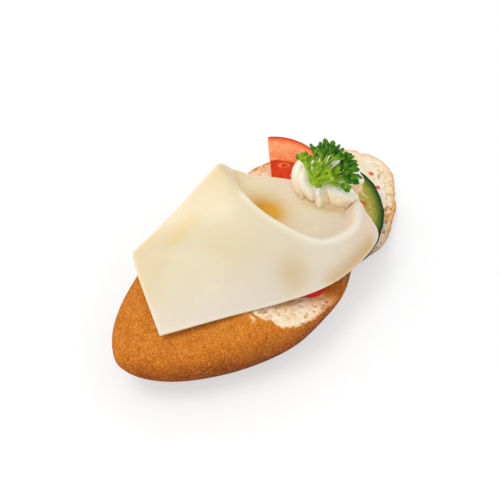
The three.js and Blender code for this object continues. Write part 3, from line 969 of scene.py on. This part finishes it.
# %% Where the painted shade and light lie
def near_spot(points, middle, size):
    """1 at the middle, fading to 0. Size is the reach to the right, up and towards the viewer."""
    away = ((points - np.array(middle)) @ VIEW_AXES.T) / size
    return np.exp(-np.sum(away**2, axis=1))


def near_line(points, start, end, width):
    """1 on the line from start to end, fading to 0 over about width millimetres."""
    start, end = np.array(start), np.array(end)
    along = (points - start) @ (end - start) / ((end - start) @ (end - start))
    nearest = start + np.clip(along, 0, 1)[:, None] * (end - start)
    return bell(np.linalg.norm(points - nearest, axis=1), 0, width)


VIEW_AXES = np.array([(0.649, -0.760, 0.0), (0.556, 0.475, 0.682), (-0.519, -0.443, 0.731)])
STAR_PLACE = (36.4, 0.0, 26.0)

# %% [markdown]
# A slice that is laid by hand is never smooth. It keeps a ridge along the fold with a trough behind
# it, sags where nothing carries it, and has a dent from a thumb. All of that moves the middle surface
# before the skin is made, so both sides follow.

# %% Fold, sag, streaks and painted shade and light
FOLD = {"height": 1.3, "width": 2.2, "trough": 1.5, "trough_at": 5.6, "trough_width": 3.0}
SAG = {"depth": 2.6, "starts": 0.2, "over": 0.3, "left": 0.4}
DENT = {"depth": 1.1, "place": (-7.6, -18.6, 27.5), "size": (8, 6, 8)}
# Each spot: its middle and its reach. pocket, dent and peak carry painted shade, far_wall and near_star
# painted light, and valley adds to the rosy blush.
SPOTS = {
    "pocket": ((9.8, 9.2, 27.0), (7.0, 7.0, 10)),
    "dent": ((-8.4, -18.0, 27.5), (6.5, 8.0, 9)),
    "valley": ((17, -5, 27), (9, 9, 12)),
    "far_wall": ((15.5, 21.5, 29), (9, 8, 12)),
    "near_star": ((24, 0, 27), (9, 9, 12)),
    "peak": ((0, 22, 48), (8, 9, 14)),
}
# Each line: its two ends and its width. front_edge is painted shade; smear and scratch are streaks in the
# cheese.
LINES = {
    "front_edge": ((3, -28, 22), (26, -27.5, 21.5), 4.2),
    "smear": ((-19.5, 20.2, 38), (-28.7, 20.8, 34), 2.6),
    "scratch": ((-24, -0.4, 33), (-17, -4.9, 32.5), 0.9),
}
STAR_SHADE = {"radius": 12.6, "width": 2.4, "fades": (2, 7)}


def bent(middle):
    """The middle surface with its fold, its sag, a dent and soft unevenness."""
    s = np.linspace(0, 1, middle.shape[1])[None, :]
    t = np.linspace(0, 1, middle.shape[0])[:, None]
    away = np.cumsum(np.linalg.norm(np.diff(middle, axis=0, prepend=middle[:1]), axis=2), axis=0)
    away -= away[len(away) // 2]
    ridge = FOLD["height"] * bell(away, 0, FOLD["width"])
    trough = FOLD["trough"] * bell(away, FOLD["trough_at"], FOLD["trough_width"])
    middle[:, :, 2] += (ridge - trough) * smooth_step(s, 0.10, 0.45)
    sag = np.sin(np.pi * np.clip((t - SAG["starts"]) / SAG["over"], 0, 1)) ** 2
    middle[:, :, 2] -= SAG["depth"] * sag * (1 - smooth_step(s, 0.0, SAG["left"]))
    dent = np.linalg.norm((middle - DENT["place"]) / DENT["size"], axis=2)
    middle[:, :, 2] -= DENT["depth"] * np.exp(-(dent**2))
    middle[:, :, 2] += rough(middle.reshape(-1, 3), (0.3, 16, 51)).reshape(middle.shape[:2])
    return middle


def star_shade(points):
    """1 on the cheese just in front of the star, to its left, where the star's shadow is painted."""
    from_star = points - STAR_PLACE
    ring = bell(np.hypot(from_star[:, 0], from_star[:, 1]), STAR_SHADE["radius"], STAR_SHADE["width"])
    in_front = smooth_step(-(from_star @ VIEW_AXES[1]), *STAR_SHADE["fades"])
    return ring * in_front * (1 - smooth_step(from_star @ VIEW_AXES[0], *STAR_SHADE["fades"]))


def cheese_mesh():
    middle = bent(relaxed(cheese_middle(), 12))
    points, faces, from_edge = sheet_skin(middle, CHEESE_THICKNESS)
    crest = middle[middle.shape[0] // 2][middle.shape[1] // 6 :]
    spot = {name: near_spot(points, *place) for name, place in SPOTS.items()}
    line = {name: near_line(points, *place) for name, place in LINES.items()}
    # Painted shade: in the dent, along the front edge and in front of the star.
    painted_shade = 0.7 * spot["dent"] + line["front_edge"] + star_shade(points)
    facts = {
        # Painted shade in the pocket, golden as light through the cheese.
        "pocket": spot["pocket"],
        "painted_shade": np.clip(painted_shade, 0, 1),
        "streak": np.clip(line["smear"] + 1.6 * line["scratch"], 0, 1),
        "blush": np.clip(smooth_step(points[:, 0], 8, 34) + 0.6 * spot["valley"], 0, 1),
        "front": smooth_step(-points[:, 1] - 0.35 * points[:, 0], 2, 26),
        # A faint painted highlight round the rim, and a painted highlight along the crest.
        "edge": 1 - smooth_step(from_edge, 0.2, 1.2),
        "lip": bell(nearest_distance(points, crest), 0, 1.6),
        # Painted light on the far wall behind the crest and near the star.
        "pale": np.clip(spot["far_wall"] + 0.6 * spot["near_star"], 0, 1),
        # Painted shade on the peak.
        "peak": spot["peak"],
    }
    return points, faces, facts


# %% [markdown]
# Processed cheese is nearly one colour, so the small differences tell. It is rosy to the right, with
# soft streaks, and a little light wanders inside it. On top of that lie painted shade, golden in the
# pocket and darker on the peak, in the dent, along the front edge and before the star; painted light
# on the far wall and near the star; and painted highlights along the lip and round the rim.

# %% Cheese finish
def cheese_finish():
    finish = Finish("cheese_slice", glow(0.65, (1.0, 0.75, 0.45), 3.5) | {"Specular IOR Level": 0.5})
    clouds = finish.clouds(26.0, 2.0, 0.5)
    smear = finish.clouds(6.0, 3.0, 0.6, finish.stretched(0.3, 1.0, 1.0))
    colour = finish.coats(
        (232, 217, 188),
        (clouds.step(0.35, 0.68), (229, 210, 172)),
        (finish.attribute("front") * 0.85, (232, 219, 203)),
        (smear.step(0.55, 0.78) * 0.4, (240, 226, 190)),
        (finish.attribute("blush") * 0.75, (238, 210, 192)),
        # Painted shade in the dent, along the front edge and round the star's foot.
        (finish.attribute("painted_shade") * 0.75, (208, 168, 94)),
        (finish.attribute("streak") * (smear * 0.5 + 0.2), (238, 204, 124)),
        # Painted light on the far wall and near the star.
        (finish.attribute("pale") * 0.8, (250, 240, 206)),
        # Painted shade on the peak and in the pocket.
        (finish.attribute("peak") * 0.7, (220, 200, 152)),
        ((finish.attribute("pocket") * 1.45).clamp(), (226, 164, 0)),
        # Painted highlights along the crest and round the rim.
        (finish.attribute("lip") * 0.7, (255, 246, 228)),
        (finish.attribute("edge") * 0.15, (250, 240, 220)),
    )
    relief = finish.clouds(1.6, 3.0, 0.6) * 0.5 + finish.clouds(9.0) * 0.5
    return finish.end(colour=colour, roughness=0.28 + smear * 0.14,
                      normal=finish.bump(relief, 0.10, 0.3))


cheese = make_object("cheese_sheet", cheese_finish(), *cheese_mesh())
settle(cheese, "cheese", "cheese_slice")

# %% [markdown]
# ## Piped star
# A star nozzle squeezes out thick mayonnaise with round lobes and sharp grooves, and the hand
# turns as it lifts away. The shape follows a rule, so Geometry Nodes build it: a flat grid is
# rolled up, one side is the turn round the star and the other its rise from foot to tip.

# %% Geometry trees
def new_geometry_tree(name, inputs):
    tree = bpy.data.node_groups.new(name, "GeometryNodeTree")
    tree.interface.new_socket("Geometry", in_out="INPUT", socket_type="NodeSocketGeometry")
    for key, value in inputs.items():
        socket = tree.interface.new_socket(key, in_out="INPUT", socket_type="NodeSocketFloat")
        socket.default_value = value
    tree.interface.new_socket("Geometry", in_out="OUTPUT", socket_type="NodeSocketGeometry")
    return Tree(tree)


def rippled(tree, noise_sockets, amount):
    """An offset in every direction, made from the colours of a noise."""
    waves = tree.add("ShaderNodeTexNoise", noise_sockets, out="Color")
    shift = tree.add("ShaderNodeVectorMath", {0: waves, 1: (0.5, 0.5, 0.5)}, operation="SUBTRACT")
    return tree.add("ShaderNodeVectorMath", {0: shift, "Scale": amount}, operation="SCALE")


def finish_tree(tree, geometry, material):
    """Makes copies real, gives them their material and joins them to the tree's output."""
    real = tree.add("GeometryNodeRealizeInstances", {"Geometry": geometry})
    painted = tree.add("GeometryNodeSetMaterial", {"Geometry": real, "Material": material})
    tree.join(painted, tree.nodes.nodes.new("NodeGroupOutput").inputs["Geometry"])
    return tree


def realized(name, tree, source, inputs):
    """Runs a tree on an object once, and returns a plain mesh object."""
    modifier = source.modifiers.new(name, "NODES")
    modifier.node_group = tree.nodes
    for item in tree.nodes.interface.items_tree:
        if item.in_out == "INPUT" and item.name in inputs:
            modifier[item.identifier] = float(inputs[item.name])
    evaluated = source.evaluated_get(bpy.context.evaluated_depsgraph_get())
    mesh = bpy.data.meshes.new_from_object(evaluated)
    bpy.data.objects.remove(source)
    mesh.name = name
    print(name, len(mesh.polygons), "faces from", len(tree.nodes.nodes), "nodes")
    return in_scene(name, mesh)

# %% [markdown]
# The star itself. Its named inputs are its sizes. The radius swings in and out as the grid is
# rolled up, which cuts the grooves, and the phase of that swing turns with the height, which
# twists them.

# %% Piped star from Geometry Nodes
STAR = {
    "Ring": 6.6, "Tube": 6.6, "Height": 10.6, "Lobes": 7.0, "Groove": 0.44, "Twist": 1.15, "Start": 0.18,
}


def star_tree(material):
    tree = new_geometry_tree("piped_star", STAR)
    given = tree.add("NodeGroupInput").socket.node.outputs
    ring, tube, height, lobes, groove, twist, start = (Wire(tree, given[key]) for key in STAR)
    grid = tree.add("GeometryNodeMeshGrid", {"Vertices X": 433, "Vertices Y": 141}, out="Mesh")
    x, y, _ = tree.parts(tree.add("GeometryNodeInputPosition"))
    turn, rise = (x + 0.5) * (2 * np.pi), y + 0.5
    bend = rise * 3.55 - 0.75
    uneven = tree.math("SINE", turn * 2 + 0.7) * 0.16 + tree.math("SINE", turn * 3 + 2.0) * 0.12
    phase = (turn + start + twist * rise + uneven) * lobes * 0.5
    leaned = phase + tree.math("SINE", phase * 2 + 0.9) * 0.34
    hollow = groove * tree.math("ABSOLUTE", tree.math("COSINE", leaned)) ** 1.5
    close = ((1 - rise) / 0.12).clamp() * ((rise / 0.05).clamp() ** 0.5)
    reach = (ring + tube * tree.math("COSINE", bend) * (1 - hollow)) * (1 - hollow * 0.35) * close
    lift = tree.math("SINE", bend) * height * (1 - hollow * 0.4)
    sides = tree.math("COSINE", turn) * reach, tree.math("SINE", turn) * reach
    rolled = tree.vector(*sides, lift)
    scaled = rippled(tree, {"Vector": rolled, "Scale": 0.24}, 2.6)
    soft = tree.add("ShaderNodeVectorMath", {0: rolled, 1: scaled}, operation="ADD")
    metres = tree.add("ShaderNodeVectorMath", {0: soft, "Scale": MM}, operation="SCALE")
    moved = tree.add("GeometryNodeSetPosition", {"Geometry": grid, "Position": metres})
    welded = tree.add("GeometryNodeMergeByDistance", {"Geometry": moved, "Distance": 2e-5})
    smooth = tree.add("GeometryNodeSetShadeSmooth", {"Geometry": welded})
    placed = tree.add("GeometryNodeTransform", {
        "Geometry": smooth,
        "Translation": tuple(value * MM for value in STAR_PLACE),
    })
    return finish_tree(tree, placed, material)

# %% [markdown]
# Mayonnaise is white only at first sight. Light goes in and comes out again warmer, and the foot
# of the star is painted warmer and darker: a painted shade where it stands on the cheese.

# %% Mayonnaise finish and star
def cream_finish():
    inner_light = glow(0.7, (1.0, 0.85, 0.6), 3.5)
    finish = Finish("piped_mayonnaise", inner_light | {"Coat Roughness": 0.15, "Coat Weight": 0.3})
    warm = finish.clouds(8.0)
    _, _, z = finish.parts(finish.place)
    # Painted shade: the foot is warmer and darker low down.
    foot = 1 - ((z * PER_METRE - STAR_PLACE[2]) / 7).clamp()
    colour = finish.coats(
        (255, 248, 234),
        (warm.step(0.3, 0.7), (254, 241, 218)),
        (foot * 0.75, (246, 206, 150)),
    )
    relief = finish.clouds(1.4, 3.0, 0.55)
    return finish.end(colour=colour, roughness=0.3 + warm * 0.12, normal=finish.bump(relief, 0.08, 0.4))


cream_paint = cream_finish()
star_source = in_scene("star_source", bpy.data.meshes.new("star_source"))
star = realized("piped_star", star_tree(cream_paint), star_source, STAR)
settle(star, "cream", "rosette")

# %% [markdown]
# As the nozzle stopped, the last of the mayonnaise curled over at the side of the star. The curl is
# two soft ropes, each swept along a short spiral and drawn in at both ends.

# %% Curl at the side of the star
# Points run to the right, up and towards the viewer from the middle of the curl.
CURLS = {
    "outer": (2.2, np.array([
        (-3.4, 7.8, -4.0), (-6.4, 8.2, -3.0), (-9.2, 6.4, -2.0), (-10.4, 3.2, -1.4), (-10.1, -0.2, -1.0),
        (-8.6, -3.2, -0.4), (-6.2, -6.2, 0.2),
    ])),
    "inner": (2.4, np.array([
        (-5.2, 0.2, 2.4), (-5.3, 2.6, 3.2), (-7.0, 3.6, 4.0), (-8.4, 1.6, 4.6), (-7.6, -1.2, 4.4),
        (-5.4, -3.8, 3.8), (-3.6, -6.6, 2.4),
    ])),
}


def rope(path, radius, steps=80, around=40):
    """A round rope along a smooth path, drawn in at both ends, with three soft ridges."""
    share = np.linspace(0, 1, steps)
    centre = spline(path, share, 0.5)
    ahead = unit(np.gradient(centre, axis=0))
    side = unit(np.cross(ahead, VIEW_AXES[2]))
    out = np.cross(side, ahead)
    turn = full_turn(around)
    ridges = 1 + 0.05 * np.abs(np.cos(1.5 * turn + share[:, None] * 2.2))
    ends = np.clip(np.minimum(share + 0.002, 1.002 - share) / 0.16, 0, 1)
    size = (radius * np.sqrt(1 - (1 - ends) ** 2)[:, None] * ridges)[..., None]
    rings = centre[:, None] + size * np.cos(turn)[:, None] * side[:, None]
    return skin(rings + size * np.sin(turn)[:, None] * out[:, None])


CURL_FROM_STAR = (-2.2, 0.6, 4.0)
curl_middle = np.array(STAR_PLACE) + CURL_FROM_STAR
curl_ropes = [rope(curl_middle + path @ VIEW_AXES, radius) for radius, path in CURLS.values()]
curl = make_object("piped_curl", cream_paint, *joined(curl_ropes))
settle(curl, "cream")

# %% [markdown]
# ## Parsley
# A sprig of curled parsley is a fan of flat, grooved stalks that fork again and again and end in
# small toothed leaf tips. Each stalk is swept as a flattened tube along a bent path. A voxel
# remesh then melts the overlapping tubes into one skin, which leaves the soft webs of a real leaf.

# %% Stalks and forks
SPRIG_FOOT = np.array([25.1, -0.4, 38.0])
# Each branch: its angle in degrees, its length and how far it leans towards the viewer.
BRANCHES = (
    (113, 12.8, 1.0), (102, 12.6, -1.5), (94, 13.6, 1.0), (82, 16.6, -3.0), (71, 18.0, 0.5),
    (60, 18.2, -2.0), (48, 18.0, 2.5), (36, 18.4, -1.0), (25, 19.6, 1.5), (14, 19.8, -1.0),
    (3, 18.4, 2.0), (-7, 16.0, 1.5), (64, 11.0, 6.5), (27, 12.0, 7.0),
)
SHARES = {2: 0.46, 1: 0.26, 0: 0.30}
HALF_WIDTHS = {2: (0.70, 0.56), 1: (0.44, 0.56), 0: (0.36, 0.80)}
SWINGS = {2: (0.26, 0.42), 1: (0.36, 0.54)}


def stalk(start, heading, length, width, depth, bow, steps=9, around=10):
    """A flattened tube along a bowed path. heading and bow are vectors."""
    along = np.linspace(0, 1, steps)[:, None]
    path = start + heading * length * along + bow * np.sin(np.pi * along / 2) * along
    ahead = unit(np.gradient(path, axis=0))
    face = unit(np.cross(ahead, np.cross(VIEW_AXES[2], ahead)))
    side = np.cross(ahead, face)
    turn = full_turn(around)
    end = np.sqrt(np.clip(1 - np.clip((along - 0.86) / 0.14, 0, 1) ** 2, 0.02, 1))
    wide = (width[0] + (width[1] - width[0]) * along) * end
    thick = (depth[0] + (depth[1] - depth[0]) * along) * end
    rings = path[:, None] + side[:, None] * (wide * np.cos(turn))[..., None]
    rings = rings + face[:, None] * (thick * np.sin(turn))[..., None]
    return skin(rings), path[-1], ahead[-1]


def fork(start, heading, length, size, draw, level, parts):
    """A stalk that forks into three, and again into three, until its tips are leaf fingers."""
    reach = length * SHARES[level] * draw.uniform(0.85, 1.12)
    bow = draw.normal(size=3) * 0.07 * reach
    widths = [half * size for half in HALF_WIDTHS[level]]
    part, end, ahead = stalk(start, heading, reach, widths, [0.42 * size, 0.36 * size], bow)
    parts.append(part)
    if level == 0:
        return
    side = np.cross(ahead, VIEW_AXES[2])
    turns = (-1, 0, 1) if level == 1 or draw.uniform() < 0.5 else (-0.6, 0.6)
    for turn in turns:
        swing = turn * draw.uniform(*SWINGS[level]) + draw.normal() * 0.07
        lean = draw.normal() * 0.22
        aim = unit(ahead * np.cos(swing) + side * np.sin(swing) + VIEW_AXES[2] * lean)
        fork(end - ahead * 0.25, aim, length, size * 0.96, draw, level - 1, parts)

# %% [markdown]
# The main branches are listed, because they give the sprig its outline. The forks, bows and
# widths are drawn at random, with a fixed seed, so the sprig is the same every time.

# %% Sprig mesh
def sprig_mesh():
    draw = np.random.default_rng(7)
    parts = []
    for degrees, length, forward in BRANCHES:
        angle = np.radians(degrees)
        aim = VIEW_AXES[0] * np.cos(angle) + VIEW_AXES[1] * np.sin(angle)
        aim = unit(aim * length + VIEW_AXES[2] * forward)
        fork(SPRIG_FOOT - aim * 1.0, aim, length, draw.uniform(0.95, 1.2), draw, 2, parts)
    parts.append(stalk(SPRIG_FOOT + (3.0, -1.2, -4.0), np.array([-0.5, 0.2, 0.84]), 5.0,
                       [1.2, 1.3], [1.1, 1.1], np.zeros(3))[0])
    return joined(parts)


def melted(piece, voxel, smoothing):
    """The piece remade as one skin, with its overlaps melted together."""
    remesh = piece.modifiers.new("melt", "REMESH")
    remesh.mode = "VOXEL"
    remesh.voxel_size = voxel * MM
    remesh.use_smooth_shade = True
    soften = piece.modifiers.new("soften", "SMOOTH")
    soften.factor, soften.iterations = 0.5, smoothing
    evaluated = piece.evaluated_get(bpy.context.evaluated_depsgraph_get())
    mesh = bpy.data.meshes.new_from_object(evaluated)
    piece.modifiers.clear()
    piece.data = mesh
    print(piece.name, len(mesh.polygons), "faces after melting")

# %% [markdown]
# Young stalks are a bright yellow green and leaf tips are dark. The remesh drops attributes, so the
# distance from the foot is measured again on the melted skin, and the finish fades between them.

# %% Parsley finish and sprig
def parsley_finish():
    finish = Finish("curled_parsley", {"Specular IOR Level": 0.2})
    reach = finish.attribute("reach")
    mottle = finish.clouds(2.0, 2.0, 0.55)
    spots = mottle.step(0.35, 0.65)
    young = finish.coats((164, 196, 44), (spots, (122, 168, 14)))
    old = finish.coats((84, 142, 8), (spots, (34, 92, 0)))
    colour = finish.mix((reach + (mottle - 0.5) * 0.5).step(0.30, 0.78), young, old)
    relief = finish.clouds(0.45, 2.0, 0.5)
    return finish.end(colour=colour, roughness=0.42 + mottle * 0.2, normal=finish.bump(relief, 0.1, 0.6))


MELT = {"voxel": 0.16, "smoothing": 2}
FULL_REACH = 19
sprig_paint = parsley_finish()
sprig = make_object("parsley_sprig_leaf", sprig_paint, *sprig_mesh())
melted(sprig, MELT["voxel"], MELT["smoothing"])
if not sprig.data.materials:
    sprig.data.materials.append(sprig_paint)
sprig_places = np.zeros(len(sprig.data.vertices) * 3)
sprig.data.vertices.foreach_get("co", sprig_places)
sprig_far = np.linalg.norm(sprig_places.reshape(-1, 3) / MM - SPRIG_FOOT, axis=1)
sprig.data.attributes.new("reach", "FLOAT", "POINT").data.foreach_set(
    "value", (sprig_far / FULL_REACH).astype(np.float32)
)
settle(sprig, "parsley", "parsley_sprig")

# %% [markdown]
# ## Red pepper bits
# The spread is full of finely diced vegetables. The bits repeat, so Geometry Nodes scatter them:
# points are spread over the open part of the mayonnaise, each gets a small rounded dice, turned
# and sized at random from a fixed seed, and the copies are made real.

# %% Pepper tree
PEPPER = {"Density": 6000.0, "Smallest": 1.2, "Largest": 3.0, "Seed": 5.0}


def pepper_tree(material):
    tree = new_geometry_tree("pepper_bits", PEPPER)
    group = tree.add("NodeGroupInput").socket.node.outputs
    density, smallest, largest, seed = (Wire(tree, group[key]) for key in PEPPER)
    surface = Wire(tree, group["Geometry"])
    open_part = tree.parts(tree.add("GeometryNodeInputNormal"))[2]
    far_end = tree.parts(tree.add("GeometryNodeInputPosition"))[0].step(0.055, 0.066)
    scattered = tree.add("GeometryNodeDistributePointsOnFaces", {
        "Mesh": surface, "Selection": tree.math("GREATER_THAN", open_part, 0.7),
        "Density": density * (far_end * 4.0 + 1.0), "Seed": seed,
    })
    dice = tree.add("GeometryNodeMeshCube", {"Size": (MM, 0.7 * MM, 0.6 * MM)})
    round_dice = tree.add("GeometryNodeSubdivisionSurface", {"Mesh": dice, "Level": 3})
    small = rippled(tree, {"Scale": 1400.0}, 0.7 * MM)
    uneven = tree.add("GeometryNodeSetPosition", {"Geometry": round_dice, "Offset": small})
    low, high = (0.0, 0.0, 0.0), (0.7, 0.7, 6.28)
    turn = tree.add("FunctionNodeRandomValue", {0: low, 1: high}, data_type="FLOAT_VECTOR")
    size = tree.add("FunctionNodeRandomValue", {"Min_001": smallest, "Max_001": largest}, out="Value_001")
    copies = tree.add("GeometryNodeInstanceOnPoints", {
        "Points": scattered, "Instance": uneven, "Rotation": turn, "Scale": size,
    })
    smooth = tree.add("GeometryNodeSetShadeSmooth", {"Geometry": copies})
    return finish_tree(tree, smooth, material)

# %% [markdown]
# The bits are made on a copy of the spread, which the tree uses only as a surface to scatter on.

# %% Pepper finish and bits
def pepper_finish():
    finish = Finish("red_pepper", {"Specular IOR Level": 0.3, "Coat Roughness": 0.15})
    tint = finish.clouds(2.5)
    colour = finish.coats((232, 84, 52), (tint.step(0.35, 0.65), (246, 132, 92)))
    relief = finish.clouds(0.5)
    return finish.end(colour=colour, roughness=0.3 + tint * 0.2, normal=finish.bump(relief, 0.08, 0.5),
                      coat=0.2)


pepper_source = in_scene("pepper_source", spread.data.copy())
pepper = realized("red_pepper_bits", pepper_tree(pepper_finish()), pepper_source, PEPPER)
settle(pepper, "tomato")

# %% [markdown]
# ## Floor, light and camera
# The sandwich lies on a plain pale floor. One large soft lamp stands behind it to the left, so its
# shadow falls to the near right. A pale room all round fills the crust's side.

# %% Floor
FLOOR_REACH = 3.0
corners = [(x * FLOOR_REACH, y * FLOOR_REACH, 0) for x, y in ((-1, -1), (1, -1), (1, 1), (-1, 1))]
floor_mesh = bpy.data.meshes.new("floor")
floor_mesh.from_pydata(corners, [], [(0, 1, 2, 3)])
floor = in_scene("floor", floor_mesh)
floor_paint = Finish("floor_white", {
    "Roughness": 0.9,
    "Specular IOR Level": 0.1,
    "Emission Color": (1.0, 1.0, 1.0, 1.0),
    "Emission Strength": 0.55,
})
floor_mesh.materials.append(floor_paint.end(colour=screen(181, 181, 181)))

# %% Light
scene = bpy.context.scene
scene.view_settings.view_transform = "Standard"
world = scene.world or bpy.data.worlds.new("room")
scene.world = world
world.use_nodes = True
surroundings = world.node_tree.nodes["Background"].inputs
surroundings["Color"].default_value = (1.0, 1.0, 1.0, 1.0)
surroundings["Strength"].default_value = 0.78


LAMP = {"place": (-0.40, 0.16, 0.95), "target": (0, 0, 0.02), "size": 0.50, "power": 3.3}
light = bpy.data.lights.new("key_light", "AREA")
light.shape, light.size, light.energy = "DISK", LAMP["size"], LAMP["power"]
key_light = in_scene("key_light", light)
facing = (Vector(LAMP["target"]) - Vector(LAMP["place"])).to_track_quat("-Z", "Y")
key_light.matrix_world = Matrix.Translation(LAMP["place"]) @ facing.to_matrix().to_4x4()
print("lamp at", LAMP["place"])

# %% Camera
CAMERA_TARGET = np.array([-3.2, 5.8, 20.0])
CAMERA_DISTANCE = 514.4
right, up, back = (Vector(axis).normalized() for axis in VIEW_AXES.tolist())
camera_data = bpy.data.cameras.new("camera")
camera_data.lens = 100
camera_data.sensor_width = 36
camera = in_scene("camera", camera_data)
place = Vector(((CAMERA_TARGET + CAMERA_DISTANCE * np.array(back)) * MM).tolist())
camera.matrix_world = Matrix.Translation(place) @ Matrix((right, up, back)).transposed().to_4x4()
scene.camera = camera
print("camera at", [round(v, 3) for v in place])
